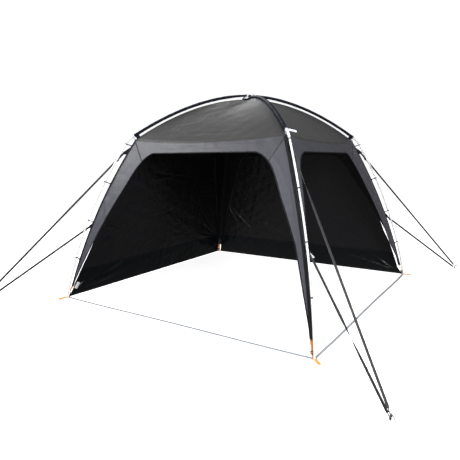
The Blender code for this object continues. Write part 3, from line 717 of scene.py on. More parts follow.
def scattered(seed, count, low, high, turn, length, wide, deep):
    """Small creases strewn over a cloth between two places, near one direction in degrees."""
    rng = np.random.default_rng(seed)
    folds = []
    for _ in range(count):
        x, y = rng.uniform(low[0], high[0]), rng.uniform(low[1], high[1])
        way = math.radians(turn + rng.normal(0, 16))
        run = length * rng.uniform(0.4, 1.2)
        x1, y1 = x + run * math.cos(way), y + run * math.sin(way)
        folds.append((x, y, x1, y1, wide * rng.uniform(0.6, 1.3), deep * rng.uniform(-1, 1)))
    return folds


def rumpled(flat, size, seed, count=12):
    """Soft waves in many directions, near one size."""
    rng = np.random.default_rng(seed)
    total = np.zeros(flat.shape[:2])
    for _ in range(count):
        turn, phase = rng.uniform(0, math.pi), rng.uniform(0, 2 * math.pi)
        wave = 2 * math.pi / (size * rng.uniform(0.6, 1.7))
        total += np.sin(wave * (flat[..., 0] * math.cos(turn) + flat[..., 1] * math.sin(turn)) + phase)
    return total / math.sqrt(count)


def held_edges(points, reach, free=()):
    """0 on the held edges of a cloth, rising to 1 inside. Edges are top, bottom, left and right."""
    across = np.linalg.norm(np.diff(points, axis=1), axis=2)
    down = np.linalg.norm(np.diff(points, axis=0), axis=2)
    across = np.concatenate((np.zeros((points.shape[0], 1)), np.cumsum(across, 1)), 1)
    down = np.concatenate((np.zeros((1, points.shape[1])), np.cumsum(down, 0)), 0)
    far = {"top": down, "bottom": down[-1:] - down, "left": across, "right": across[:, -1:] - across}
    share = np.ones(points.shape[:2])
    for edge, distance in far.items():
        if edge not in free:
            share *= smooth(distance / reach)
    return share


def cut_size(points, flat):
    """Width, length and area of a cloth before it is pushed into folds."""
    width = np.ptp(flat[..., 0])
    columns = np.linalg.norm(np.diff(points, axis=0), axis=2).sum(0)
    length = max(columns[len(columns) // 2], np.ptp(flat[..., 1]))
    a = points[1:, 1:] - points[:-1, :-1]
    b = points[1:, :-1] - points[:-1, 1:]
    area = np.linalg.norm(np.cross(a, b), axis=2).sum() / 2
    return (round(float(width), 3), round(float(length), 3)), round(float(area), 4)


def add_cloth(name, points, flat, push, outward, finish, nodes, bands=None):
    """A cloth from its smooth rows, pushed into folds, with its thickness on the outer side."""
    size, area = cut_size(points, flat)
    way = np.broadcast_to(outward, points.shape)
    points = points + way * (push[..., None] + CLOTH_STAND)
    rows, width = points.shape[:2]
    faces, flats = [], []
    for i in range(rows - 1):
        for j in range(width - 1):
            ring = ((i, j), (i, j + 1), (i + 1, j + 1), (i + 1, j))
            faces.append(tuple(a * width + b for a, b in ring))
            flats.append(tuple((float(flat[a, b, 0]), float(flat[a, b, 1])) for a, b in ring))
    mid = rows // 2
    first = np.cross(points[mid, 1] - points[mid, 0], points[mid + 1, 0] - points[mid, 0])
    if np.dot(first, way[mid, 0]) < 0:
        faces = [tuple(reversed(face)) for face in faces]
        flats = [tuple(reversed(place)) for place in flats]
    cloth = add_piece(name, [(points.reshape(-1, 3), faces, flats)], finish, nodes, open_cloth=True)
    if bands is not None:
        cloth.data.materials.append(bands[0])
        chosen = [int(bands[1](np.mean([place[1] for place in face]))) for face in flats]
        cloth.data.polygons.foreach_set("material_index", chosen)
    thicken = cloth.modifiers.new("Thickness", "SOLIDIFY")
    thicken.thickness = CLOTH
    thicken.offset = 1.0
    if bands is None:
        cloth.data.materials.append(INSIDE)
        thicken.material_offset = 1
    area = min(area, size[0] * size[1])
    return points


# Lines along which the stitches and the zip teeth are laid at the end
seam_lines = []
zip_lines = []


def tape_along(path, side, outward, width, thick, shift, lift=SEWN_LIFT, stitch=(0.0025,)):
    """A sewn tape beside a cloth's edge: side points into the cloth. Notes its lines of stitches."""
    path, side = np.array(path, float), np.array(side, float)
    side = np.broadcast_to(side, path.shape)
    ahead = tangents(path)
    rise = unit(np.cross(ahead, side))
    if np.sum(rise * outward) < 0:
        rise = -rise
    side = unit(side - ahead * np.sum(side * ahead, axis=1, keepdims=True))
    centre = path + side * shift + rise * lift
    for inset in stitch:
        for sign in (1, -1) if inset < width / 2 - 0.001 else (1,):
            seam_lines.append(centre + side * sign * (width / 2 - inset) + rise * (thick / 2 + 0.0001))
    return swept(centre, tape(width, thick), side)


# Roof. A fold is its start, its end, its width and its depth, on the cloth's flat measure.

def roof_rows(side, down=72, over=72):
    outward = SIDES[side][0]
    sideways = turned(outward)
    points = np.zeros((down + 1, over + 1, 3))
    flat = np.zeros((down + 1, over + 1, 2))
    for i, v in enumerate(steps(down)):
        radius = max(CANOPY_CORNER[0] * v, 0.0015)
        half = radius / math.sqrt(2)
        for j, t in enumerate(steps(over)):
            u = 2 * t - 1
            low = eave_place(u)[1]
            swell = (side_at(low) - side_at(CANOPY_CORNER[1])) * v * v
            sink = (CANOPY_CORNER[1] - low) * v * v + ROOF_SLACK * (1 - u * u) * math.sin(math.pi * v)
            points[i, j] = outward * (half + swell) + sideways * u * half + UP * (seam_height(radius) - sink)
            flat[i, j] = (u * half, -ROOF_CUT_LENGTH * v)
    return points, flat


ROOF_FOLDS = {
    "front_left": [(-0.75, -1.10, 0.1, -1.075, 0.012, 0.003), (-0.3, -1.05, 0.6, -1.03, 0.014, -0.003)],
    "front_right": [(-0.6, -1.10, 0.3, -1.08, 0.012, 0.002)],
    "back_right": [(-0.5, -1.09, 0.4, -1.06, 0.012, 0.003)],
    "back_left": [(-0.7, -1.10, 0.2, -1.07, 0.012, 0.003)],
}
roof_points = {}
for number, side in enumerate(SIDES):
    points, flat = roof_rows(side)
    folds = ROOF_FOLDS[side] + scattered(20 + number, 26, (-0.8, -1.12), (0.7, -0.75), 4, 0.35, 0.018, 0.0016)
    folds += scattered(30 + number, 14, (-0.5, -0.9), (0.5, -0.3), 80, 0.3, 0.03, 0.0008)
    push = folded(flat, folds) + 0.0010 * rumpled(flat, 0.22, 40 + number)
    push += 0.003 * rumpled(flat, 0.7, 50 + number)
    push *= held_edges(points, 0.06)
    roof_points[side] = add_cloth(
        "roof_cloth_" + side, points, flat, push, UP, ROOF,
        ["roof_panel_" + side],
    )


# Eave bands

def band_rows(side, down=14, over=150):
    outward = SIDES[side][0]
    points = np.zeros((down + 1, over + 1, 3))
    flat = np.zeros((down + 1, over + 1, 2))
    for i, v in enumerate(steps(down)):
        for j, t in enumerate(steps(over)):
            u = 2 * t - 1
            along, height = blend(eave_place(u), band_bottom(side, u), v)
            points[i, j] = on_side(outward, along, height)
            flat[i, j] = (along, height)
    return points, flat


BAND_FOLDS = {
    "front_left": [
        (-0.35, 1.66, 0.55, 1.625, 0.010, 0.005), (-0.62, 1.668, 0.0, 1.63, 0.012, 0.004),
        (0.75, 1.66, -0.1, 1.668, 0.009, 0.004), (0.2, 1.64, 0.72, 1.60, 0.010, -0.004),
        (-0.55, 1.63, -0.1, 1.60, 0.012, -0.003), (0.9, 1.69, 0.4, 1.62, 0.012, 0.004),
    ],
    "front_right": [(-0.7, 1.69, -0.2, 1.61, 0.014, 0.003), (0.8, 1.70, 0.35, 1.62, 0.012, 0.003)],
    "back_right": [(-0.7, 1.67, 0.1, 1.63, 0.012, 0.004), (0.8, 1.69, 0.2, 1.63, 0.012, 0.004)],
    "back_left": [(-0.6, 1.66, 0.2, 1.62, 0.012, 0.004), (0.8, 1.69, 0.2, 1.63, 0.012, 0.003)],
}
band_points = {}
for number, side in enumerate(SIDES):
    points, flat = band_rows(side)
    folds = BAND_FOLDS[side] + scattered(60 + number, 22, (-0.8, 1.60), (0.7, 1.70), -3, 0.22, 0.009, 0.002)
    push = folded(flat, folds) + 0.0012 * rumpled(flat, 0.16, 70 + number)
    push *= held_edges(points, 0.02)
    # The bands take the darkened copy of the leg cloth, which paints shade on them.
    band_points[side] = add_cloth(
        "eave_cloth_" + side, points, flat, push, SIDES[side][0], EAVE_PAINTED_SHADE,
        ["eave_band_" + side],
    )


# Leg panels

def leg_rows(corner, down=130, over=17):
    wings = [side for side, value in SIDES.items() if value[2] == corner]
    wings += [side for side, value in SIDES.items() if value[1] == corner]
    width = 2 * over + 1
    points = np.zeros((down + 1, width, 3))
    flat = np.zeros((down + 1, width, 2))
    ways = np.zeros((down + 1, width, 3))
    for i, t in enumerate(steps(down)):
        outer = wing_outer(t)
        for j in range(width):
            side = wings[0] if j <= over else wings[1]
            share = j / over if j <= over else (width - 1 - j) / over
            along, height = blend(wing_inner(side, corner, t), outer, share)
            sign = 1 if j <= over else -1
            points[i, j] = on_side(SIDES[side][0], sign * along, height) + foot_shift(corner, height)
            flat[i, j] = (sign * (along - outer[0]), height)
            ways[i, j] = CORNERS[corner] if j == over else SIDES[side][0]
    return points, flat, ways


LEG_FOLDS = {
    "front": [
        (-0.10, 1.62, -0.07, 1.05, 0.012, 0.005), (-0.17, 1.50, -0.10, 0.95, 0.011, -0.004),
        (-0.06, 1.35, -0.05, 0.70, 0.010, 0.005), (-0.20, 1.40, -0.14, 0.90, 0.010, 0.004),
        (-0.12, 1.15, -0.05, 0.55, 0.010, -0.004), (-0.03, 0.25, -0.10, 0.85, 0.012, 0.005),
        (0.05, 1.60, 0.09, 1.2, 0.012, 0.004), (0.02, 0.3, 0.06, 0.9, 0.010, 0.004),
    ],
    "left": [
        (0.03, 1.12, 0.20, 0.86, 0.020, 0.007), (0.05, 1.02, 0.16, 0.82, 0.014, -0.005),
        (0.02, 0.2, 0.07, 0.75, 0.012, 0.004), (0.04, 1.6, 0.14, 1.2, 0.014, 0.003),
        (-0.04, 1.0, -0.15, 0.8, 0.016, 0.005),
    ],
    "right": [
        (-0.04, 0.2, -0.10, 0.8, 0.012, 0.004), (-0.06, 1.3, -0.20, 1.0, 0.014, 0.004),
        (0.05, 1.2, 0.12, 0.9, 0.014, 0.004),
    ],
    "back": [
        (-0.04, 0.2, -0.08, 0.8, 0.012, 0.004), (0.04, 0.2, 0.08, 0.8, 0.012, 0.004),
        (0.05, 1.5, 0.1, 1.0, 0.012, 0.004), (-0.05, 1.5, -0.1, 1.0, 0.012, -0.004),
    ],
}
leg_points = {}
for number, corner in enumerate(CORNERS):
    points, flat, ways = leg_rows(corner)
    strewn = scattered(80 + number, 34, (-0.22, 0.3), (0.22, 1.5), 84, 0.25, 0.010, 0.0028)
    folds = LEG_FOLDS[corner] + strewn
    push = folded(flat, folds) + 0.0012 * rumpled(flat, 0.12, 90 + number)
    push *= held_edges(points, 0.02) * smooth(np.abs(flat[..., 0]) / 0.025)
    beside = [side for side in SIDES if corner in SIDES[side][1:]]
    leg_points[corner] = add_cloth(
        "leg_cloth_" + corner, points, flat, push, ways, LEG,
        ["leg_panel_" + corner],
    )


# Walls

def wall_rows(side, over=300):
    outward, left, right = SIDES[side]
    heights = [WALL_BOTTOM + (CORNER_CURVE_HEIGHT - WALL_BOTTOM) * t for t in steps(126)]
    edges = [(wall_edge(side, left, h), wall_edge(side, right, h)) for h in heights]
    first, above = CURVE_SHARE_IN_LEG, steps(8)[1:]
    for t in [first * s for s in above] + [first + (1 - first) * s for s in above]:
        edges.append((opening_corner(side, left, t), opening_corner(side, right, t)))
    points = np.zeros((len(edges), over + 1, 3))
    flat = np.zeros((len(edges), over + 1, 2))
    for i, ((left_along, height), (right_along, _)) in enumerate(edges):
        for j, t in enumerate(steps(over)):
            along = -left_along + (left_along + right_along) * t
            points[i, j] = on_side(outward, along, height)
            flat[i, j] = (along, height)
    return points[::-1], flat[::-1]


WALL_FOLDS = {
    "back_left": [
        (1.446, 0.044, 0.80, 0.275, 0.016, -0.012), (1.446, 0.044, 0.55, 0.270, 0.018, 0.012),
        (1.43, 0.06, 1.05, 0.27, 0.014, -0.010), (1.43, 0.07, 1.15, 0.33, 0.013, 0.008),
        (1.446, 0.044, 0.70, 0.17, 0.016, -0.010), (1.40, 0.04, 0.60, 0.10, 0.018, 0.007),
        (1.148, 0.79, 0.94, 0.55, 0.016, 0.008), (1.144, 0.80, 0.80, 0.68, 0.015, -0.007),
        (0.83, 0.27, 0.55, 0.37, 0.012, -0.006), (0.23, 0.31, -0.06, 0.46, 0.012, 0.006),
        (0.44, 0.40, 0.06, 0.57, 0.012, -0.006), (0.15, 0.79, -0.26, 0.91, 0.012, 0.004),
        (0.53, 1.374, -0.667, 1.227, 0.02, 0.006), (0.49, 1.276, -0.26, 1.353, 0.016, -0.005),
        *fanned(-1.09, 1.12, (-28, 38), 8, 0.55, 0.013, 0.008, 1),
        *fanned(-1.17, 0.92, (-25, 20), 5, 0.45, 0.012, 0.006, 2),
        *fanned(-1.34, 0.28, (8, 62), 9, 0.85, 0.013, 0.009, 3),
        *fanned(0.80, 1.53, (200, 265), 6, 0.35, 0.016, 0.006, 4),
    ],
    "back_right": [
        (1.182, 0.855, 0.70, 0.32, 0.014, -0.010), (1.147, 0.84, 0.88, 0.40, 0.012, 0.007),
        (1.17, 0.823, 1.03, 0.42, 0.012, -0.008), (0.66, 0.62, 0.08, 0.33, 0.014, -0.008),
        (0.95, 0.74, 0.36, 0.365, 0.013, 0.007), (1.055, 1.23, 0.94, 1.02, 0.012, -0.007),
        (-1.415, 0.029, -0.52, 0.262, 0.016, -0.011), (-1.415, 0.029, -0.80, 0.293, 0.015, 0.010),
        (-1.415, 0.029, -1.00, 0.290, 0.014, -0.010), (-1.415, 0.029, -1.12, 0.285, 0.013, 0.009),
        (-1.415, 0.029, -0.66, 0.175, 0.016, 0.009), (-1.103, 0.46, -1.099, 0.30, 0.010, -0.007),
        (-1.048, 0.44, -1.031, 0.30, 0.010, -0.006), (-1.156, 0.48, -1.166, 0.31, 0.010, 0.006),
        (-0.965, 0.40, -0.934, 0.29, 0.010, -0.006),
        (-0.10, 1.225, -0.76, 1.275, 0.016, 0.0034), (-0.22, 1.17, -0.72, 1.20, 0.015, -0.0024),
        (-0.13, 1.09, -0.70, 1.14, 0.018, 0.0032), (-0.06, 0.965, -0.84, 1.00, 0.016, 0.0034),
        (-0.26, 1.03, -0.66, 1.06, 0.015, -0.0026), (-0.10, 0.85, -0.66, 0.85, 0.018, 0.0030),
        (-0.20, 0.91, -0.80, 0.93, 0.015, -0.0024), (-0.04, 0.71, -0.85, 0.785, 0.017, 0.0034),
        (-0.17, 0.78, -0.74, 0.81, 0.015, -0.0026), (-0.24, 1.345, -0.62, 1.38, 0.016, 0.0030),
        *fanned(1.04, 1.25, (196, 236), 6, 0.55, 0.012, 0.007, 5),
        *fanned(1.18, 0.85, (200, 250), 7, 0.75, 0.012, 0.008, 6),
        *fanned(-0.85, 1.50, (265, 330), 5, 0.3, 0.015, 0.005, 7),
    ],
}
# How many times deeper the wall folds are than listed, and the way of each wall's small creases in degrees
WALL_FOLD_DEPTH = 1.7
WALL_CREASE_TURN = {"back_right": 10, "back_left": -20}
wall_points = {}
for number, side in enumerate(WALL_SIDES):
    points, flat = wall_rows(side)
    turn = WALL_CREASE_TURN[side]
    strewn = scattered(100 + number, 70, (-1.2, 0.35), (1.0, 1.45), turn, 0.22, 0.012, 0.004)
    folds = WALL_FOLDS[side] + strewn
    folds += scattered(110 + number, 40, (-1.1, 0.35), (1.0, 0.8), 45, 0.2, 0.010, 0.003)
    push = WALL_FOLD_DEPTH * folded(flat, folds) + 0.0018 * rumpled(flat, 0.14, 120 + number)
    push += 0.006 * rumpled(flat, 0.8, 130 + number)
    seam = 0.0022 * np.exp(-((flat[..., 1] - MUD_SEAM_HEIGHT) / 0.012) ** 2)
    push = (push + seam) * held_edges(points, 0.035, free=("bottom",))
    push *= 0.35 + 0.65 * smooth((flat[..., 1] - 0.02) / 0.08)
    wall_points[side] = add_cloth(
        "wall_cloth_" + side, points, flat, push, SIDES[side][0], WALL,
        ["wall_" + side],
        bands=(MUD_BAND, lambda height: height < MUD_SEAM_HEIGHT),
    )


# Seams, hems and bindings

def into_cloth(points, row=None, column=None):
    """Directions from an edge of a cloth's rows towards its inside."""
    if row is not None:
        return unit(points[row + (3 if row == 0 else -3)] - points[row])
    return unit(points[:, column + (2 if column == 0 else -2)] - points[:, column])


for side, (outward, *_) in SIDES.items():
    roof, band = roof_points[side], band_points[side]
    eave = [
        tape_along(band[0], into_cloth(band, row=0), outward, *EAVE_TAPE),
        tape_along(roof[-1], into_cloth(roof, row=-1), UP, *ROOF_EDGE_TAPE),
    ]
    add_piece("eave_seam_" + side, eave, ROOF)
    diagonals = []
    for column in (0, -1):
        path = roof[2:, column]
        inward = into_cloth(roof, column=column)[2:]
        diagonals.append(tape_along(path, inward, UP, *ROOF_SEAM_TAPE))
    add_piece("roof_seams_" + side, diagonals, SEAM)

for side in OPEN_SIDES:
    outward, left, right = SIDES[side]
    band = band_points[side]
    left_wing, right_wing = leg_points[left][:, -1], leg_points[right][:, 0]
    path = np.vstack((left_wing[:-1], band[-1], right_wing[::-1][1:]))
    inward = np.vstack((
        into_cloth(leg_points[left], column=-1)[:-1],
        into_cloth(band, row=-1),
        into_cloth(leg_points[right], column=0)[::-1][1:],
    ))
    hem = [tape_along(path, inward, outward, *OPENING_TAPE, stitch=(0.011,))]
    add_piece("opening_hem_" + side, hem, HEM)

for side, (outward, left, right) in SIDES.items():
    seams = []
    for corner, column in ((left, -1), (right, 0)):
        row = leg_points[corner][-1]
        half = (len(row) - 1) // 2
        path = row[half:] if column == -1 else row[: half + 1][::-1]
        down = unit(leg_points[corner][-4] - leg_points[corner][-1])
        down = down[half:] if column == -1 else down[: half + 1][::-1]
        seams.append(tape_along(path, down, outward, *DIAGONAL_TAPE))
    add_piece("diagonal_seams_" + side, seams, SEAM)

for corner, out in CORNERS.items():
    rows = leg_points[corner]
    half = (rows.shape[1] - 1) // 2
    edge = rows[:, half]
    bands = []
    for column in (half - 2, half + 2):
        inward = unit(rows[:, column] - edge)
        bands += [tape_along(edge, inward, out, *sizes) for sizes in CORNER_TAPES]
    add_piece("corner_hem_" + corner, bands, HEM)
    tip = rows[:8]
    patch = []
    for column in (0, -1):
        middle = (tip[:, column] + tip[:, half]) / 2
        wide = float(np.linalg.norm(tip[0, column] - tip[0, half])) + 0.012
        inward = unit(tip[:, half] - tip[:, column])
        patch.append(tape_along(middle, inward, out, wide, 0.005, 0.0, lift=0.0))
    add_piece("tip_patch_" + corner, patch, BLACK_WEBBING)

for side in WALL_SIDES:
    outward = SIDES[side][0]
    rows = wall_points[side]
    heights = rows[:, 0, 2]
    split = int(np.argmax(heights < WALL_ZIP_END))
    hems = [tape_along(rows[-1], into_cloth(rows, row=-1), outward, *WALL_BOTTOM_TAPE)]
    for column in (0, -1):
        path = rows[split:, column]
        inward = into_cloth(rows, column=column)[split:]
        hems.append(tape_along(path, inward, outward, *WALL_EDGE_TAPE))
        zip_lines.append(rows[: split + 1, column] - outward * 0.0012)
    add_piece("wall_hem_" + side, hems, HEM)
    seam_row = int(np.argmax(heights < MUD_SEAM_HEIGHT))
    seam_path = rows[seam_row, 1:-1]
    seam_shape = tape_along(seam_path, -UP, outward, *MUD_SEAM_TAPE)
    add_piece("mud_band_seam_" + side, [seam_shape], HEM)
    top_path = np.vstack((rows[:split, 0][::-1], rows[0, 1:-1], rows[:split, -1]))
    top_in = np.vstack((
        into_cloth(rows, column=0)[:split][::-1],
        into_cloth(rows, row=0)[1:-1],
        into_cloth(rows, column=-1)[:split],
    ))
    tape_shape = tape_along(top_path, top_in, outward, *ZIP_TAPE)
    add_piece("wall_zip_tape_" + side, [tape_shape], HEM)


# Roof sleeves with their poles, the strips under them, and the elbows

def puffed_ring(radius, sides, swell):
    """A sleeve's section, drawn down towards the strip that hangs from it."""
    turn = 2 * math.pi * np.arange(sides) / sides
    size = radius * (1 + swell)
    lower = np.clip(-np.sin(turn), 0, 1) ** 3 * 0.22
    return np.stack((size * np.cos(turn) * (1 - lower), size * np.sin(turn) * (1 + lower)), 1)


def flat_sections(halves, thick):
    return np.array([[(-h, -thick), (h, -thick), (h, thick), (-h, thick)] for h in halves])


for name, corner in (("left_right", "right"), ("front_back", "front")):
    radii = np.linspace(-HUB[0], HUB[0], 260)
    path = np.array([in_corner(corner, (r, arch_height(r, corner))) for r in radii])
    rng = np.random.default_rng(7 if corner == "front" else 8)
    phases = rng.uniform(0, 6.28, 4)
    turn = 2 * math.pi * np.arange(20) / 20
    sections = []
    for r in radii:
        swell = 0.030 * np.sin(38 * r + 2 * turn + phases[0]) + 0.020 * np.sin(91 * r - turn + phases[1])
        swell = (swell + 0.015 * np.sin(170 * r + 3 * turn + phases[2])) * smooth((abs(r) - 0.1) / 0.1)
        sections.append(puffed_ring(sleeve_radius(r) - 0.0006, 20, swell))
    across = turned(CORNERS[corner])
    flip = np.sign(np.cross(tangents(path), across)[:, 2:3])
    sections = np.array(sections)
    sections[..., 1] *= flip
    sleeve = [swept(path, sections, across)]
    for end in (-1, 1):
        r = np.linspace(HUB[0] - 0.024, HUB[0] - 0.002, 6) * end
        cuff = np.array([in_corner(corner, (x, arch_height(x, corner))) for x in r])
        sleeve.append(swept(cuff, round_ring(SLEEVE_RADIUS + 0.0008), across))
    add_piece("sleeve_" + name, sleeve, SLEEVE, ["roof_arch_" + name])
    strips, gussets = [], []
    for sign in (-1, 1):
        r = np.linspace(0.10, 1.262, 110) * sign
        low = np.array([in_corner(corner, (x, seam_height(x) + 0.0018)) for x in r])
        high = np.array([in_corner(corner, (x, arch_height(x, corner) - sleeve_radius(x) * 0.9)) for x in r])
        end = np.clip((np.abs(r) - 1.240) / 0.022, 0, 1)
        round_off = 1 - 0.5 * (1 - np.sqrt(1 - end ** 2 * 0.98))
        middle = (low + high) / 2
        half = np.linalg.norm(high - low, axis=1) / 2 * round_off
        strips.append(swept(middle, flat_sections(half, 0.0008), UP))
        r = np.linspace(1.258, 1.296, 8) * sign
        heights = [seam_height(min(abs(x), CANOPY_CORNER[0])) + 0.001 for x in r]
        low = np.array([in_corner(corner, place) for place in zip(r, heights)])
        high = np.array([in_corner(corner, (x, arch_height(x, corner) - 0.006)) for x in r])
        middle = (low + high) / 2
        half = np.linalg.norm(high - low, axis=1) / 2
        gussets.append(swept(middle, flat_sections(half, 0.0016), UP))
    strip_finish = NET if name == "left_right" else SLEEVE
    add_piece("sleeve_net_" + name, strips, strip_finish)
    add_piece("sleeve_gusset_" + name, gussets, SLEEVE)

for corner in CORNERS:
    across = turned(CORNERS[corner])
    path = []
    for t in steps(26):
        place = blend(blend(LEG_TOP, ELBOW_KNEE, t), blend(ELBOW_KNEE, HUB, t), t)
        path.append(in_corner(corner, place))
    path = np.array(path)
    run = lengths(path) / lengths(path)[-1]
    collar = 0.0011 * (np.exp(-((run - 0.06) / 0.05) ** 2) + np.exp(-((run - 0.94) / 0.05) ** 2))
    sections = np.array([round_ring(ELBOW_RADIUS - 0.0006 + c, 24) for c in collar])
    tube = [swept(path, sections, across)]
    add_piece("elbow_tube_" + corner, tube, WHITE_STEEL, ["elbow_" + corner])


# Leg poles and their clips

def leg_path(corner, low, high, count):
    places = [low + (high - low) * t for t in steps(count)]
    return np.array([in_corner(corner, (radius_at(LEG_CIRCLE, h), h)) for h in places])


for corner in CORNERS:
    across = turned(CORNERS[corner])
    shapes = []
    for low, high in zip(POLE_JOINTS, POLE_JOINTS[1:]):
        path = leg_path(corner, low, high - 0.0006, 40)
        run = lengths(path)
        lip = 0.0007 * np.exp(-(run / 0.006) ** 2)
        neck = -0.0012 * smooth((run - run[-1] + 0.012) / 0.010)
        sections = np.array([round_ring(POLE_RADIUS - 0.0003 + a + b, 24) for a, b in zip(lip, neck)])
        shapes.append(swept(path, sections, across))
    add_piece("pole_" + corner, shapes, WHITE_STEEL, ["leg_pole_" + corner])
    clips = []
    for height in CLIP_HEIGHTS:
        at = in_corner(corner, (radius_at(LEG_CIRCLE, height), height))
        near = leg_path(corner, height - 0.01, height + 0.01, 1)
        ahead = unit(near[1] - near[0])
        edge = in_corner(corner, (radius_at(EDGE_CIRCLE, height - 0.02) + 0.004, height - 0.02))
        away = unit(at - edge)
        away = unit(away - ahead * np.dot(away, ahead))
        ring_side = np.cross(ahead, away)
        hook = []
        for turn in np.radians(np.linspace(-155, 125, 22)):
            hook.append(at + (away * math.cos(turn) + ring_side * math.sin(turn)) * (POLE_RADIUS + 0.0014))
        hook.insert(0, at - away * 0.020 - ring_side * 0.004)
        clips.append(swept(hook, tape(0.011, 0.0026), ahead))
        lug = [at + away * (POLE_RADIUS + 0.001), at + away * (POLE_RADIUS + 0.006) + ahead * 0.002]
        clips.append(swept(lug, tape(0.010, 0.0035), ring_side))
        stem = [edge + (at - edge) * t for t in (0.0, 0.35, 0.75)]
        clips.append(swept(stem, tape(0.010, 0.0042), ahead))
        base = [edge - away * 0.001 - ahead * 0.012, edge - away * 0.001 + ahead * 0.012]
        clips.append(swept(base, tape(0.012, 0.004), ring_side))
    add_piece("pole_clips_" + corner, clips, BLACK_PLASTIC)


# Ties at the crossing, and the loops at the sleeves' ends

PATCH_SIDES = 48
# Radius and height of the round patch's rings, from the middle of its top over the rim to its underside
PATCH_PROFILE = (
    (0.002, 0.0032), (0.05, 0.0032), (0.082, 0.0030), (0.085, 0.0015), (0.083, 0.0), (0.002, 0.0),
)
patch_height = SEAM_TOP + 0.0033
patch_turn = 2 * math.pi * np.arange(PATCH_SIDES) / PATCH_SIDES
patch_rings = []
for radius, height in PATCH_PROFILE:
    wave = 0.0012 * np.sin(6 * patch_turn) * (radius / 0.085)
    ring = (radius * np.cos(patch_turn), radius * np.sin(patch_turn), patch_height + height + wave)
    patch_rings.append(np.stack(ring, 1))
patch_points = np.vstack(patch_rings)
ring_starts = [PATCH_SIDES * i for i in range(len(PATCH_PROFILE))]
patch_faces = []
for start in ring_starts[:-1]:
    for j in range(PATCH_SIDES):
        i, k = start + j, start + (j + 1) % PATCH_SIDES
        patch_faces.append((i, k, k + PATCH_SIDES, i + PATCH_SIDES))
for start in (ring_starts[0], ring_starts[-1]):
    patch_faces.append(tuple(range(start, start + PATCH_SIDES)))
patch_flats = [tuple((float(x), float(y)) for x, y in patch_points[list(face), :2]) for face in patch_faces]
patch_shape = (patch_points, patch_faces, patch_flats)
add_piece("apex_patch", [patch_shape], BLACK_WEBBING, ["apex_tie"])
round_seam = [(0.076 * math.cos(a), 0.076 * math.sin(a)) for a in np.linspace(0, 6.28, 60)]
seam_lines.append(np.array([(x, y, patch_height + 0.0034) for x, y in round_seam]))


def tie_over(corner, top, foot):
    """A strap over a sleeve near the crossing, with its legs slanting down to the patch."""
    across = turned(CORNERS[corner])
    bend = sleeve_radius(top) + 0.0018
    centre = in_corner(corner, (top, arch_height(top, corner)))
    ground = in_corner(corner, (foot, patch_height + 0.0035))
    path = [ground - across * (bend + 0.005), ground - across * bend + UP * 0.004]
    for t in steps(16):
        turn = math.pi * (1 - t)
        path.append(centre + across * bend * math.cos(turn) + UP * bend * math.sin(turn))
    path += [ground + across * bend + UP * 0.004, ground + across * (bend + 0.005)]
    return swept(path, tape(*TIE_WEBBING), CORNERS[corner], square=False)


black_ties = [tie_over("right", sign * 0.044, sign * 0.080) for sign in (-1, 1)]
black_ties += [tie_over("front", sign * 0.040, sign * 0.055) for sign in (-1, 1)]
pale_ties = [tie_over("right", sign * 0.024, sign * 0.052) for sign in (-1, 1)]
add_piece("apex_ties_black", black_ties, BLACK_WEBBING)
add_piece("apex_ties_pale", pale_ties, WHITE_WEBBING)

for corner in CORNERS:
    out = CORNERS[corner]
    across = turned(out)
    inward = unit(np.array(HUB) - np.array(ELBOW_KNEE))
    axis = out * inward[0] + UP * inward[1]
    down = np.cross(across, axis)
    down = -down if down[2] > 0 else down
    middle = in_corner(corner, HUB) - axis * 0.012
    bend = ELBOW_RADIUS + 0.0018
    path = []
    for t in steps(20):
        turn = math.pi * t
        path.append(middle + across * bend * math.cos(turn) - down * bend * math.sin(turn))
    path.append(middle - across * 0.004 + down * 0.0405)
    path.append(middle + across * 0.004 + down * 0.0405)
    shapes = [swept(path, tape(*HUB_WEBBING), axis, closed=True)]
    sign = LOOP_TAIL_SIDE[corner]
    start = middle + across * sign * bend
    run = np.linspace(0, 1, 30)
    tail = [start + across * sign * (0.095 - bend) * t - UP * 0.016 * t ** 1.4 for t in run]
    near_end = np.clip((run - 0.91) / 0.09, 0, 0.97)
    wide = 0.019 * np.sqrt(np.clip(1 - near_end ** 2, 0.05, 1))
    sections = np.array([tape(w, HUB_WEBBING[1]) for w in wide])
    shapes.append(swept(tail, sections, unit(0.5 * axis + UP)))
    add_piece("hub_webbing_" + corner, shapes, WHITE_WEBBING, ["hub_loop_" + corner])


# Guys

def peg_point(corner, height):
    """A place up the leaning shank of a guy's peg."""
    turn = Matrix.Rotation(math.radians(GUY_PEG_TURN), 3, "Z")
    place = turn @ Vector(CORNERS[corner]) * GUY_PEG_RADIUS
    bottom = 0.005 * GUY_PEG_LEAN / math.hypot(GUY_PEG_LEAN, GUY_PEG_TOP)
    lean = CORNERS[corner] * GUY_PEG_LEAN * (height - bottom) / (GUY_PEG_TOP - bottom)
    return np.array(place) + lean + UP * max(height, bottom)


def turned_about(vector, axis, degrees):
    return np.array(Matrix.Rotation(math.radians(degrees), 3, Vector(axis)) @ Vector(vector))


def strap_turn(level, corner, share):
    """How far a guy's webbing has turned about itself, in degrees."""
    if (level, corner) == ("lower", "front"):
        return 90 + 180 * smooth((share - 0.34) / 0.44)
    if corner in ("front", "back"):
        return 90 * smooth((share - 0.11) / 0.20)
    return 4 * math.sin(share * 9)


def ladder_slider(centre, ahead, wide, stand):
    """A flat three-bar slider round a strap."""
    shapes = []
    for along in (-0.014, 0.0, 0.014):
        bar = [centre + ahead * along - wide * 0.0165, centre + ahead * along + wide * 0.0165]
        shapes.append(swept(bar, round_ring(0.0026, 10), ahead))
    for sideways in (-0.0150, 0.0150):
        rail = [centre + wide * sideways + ahead * along for along in (-0.016, 0.0, 0.016)]
        shapes.append(swept(rail, tape(0.0052, 0.0052), stand))
    return shapes


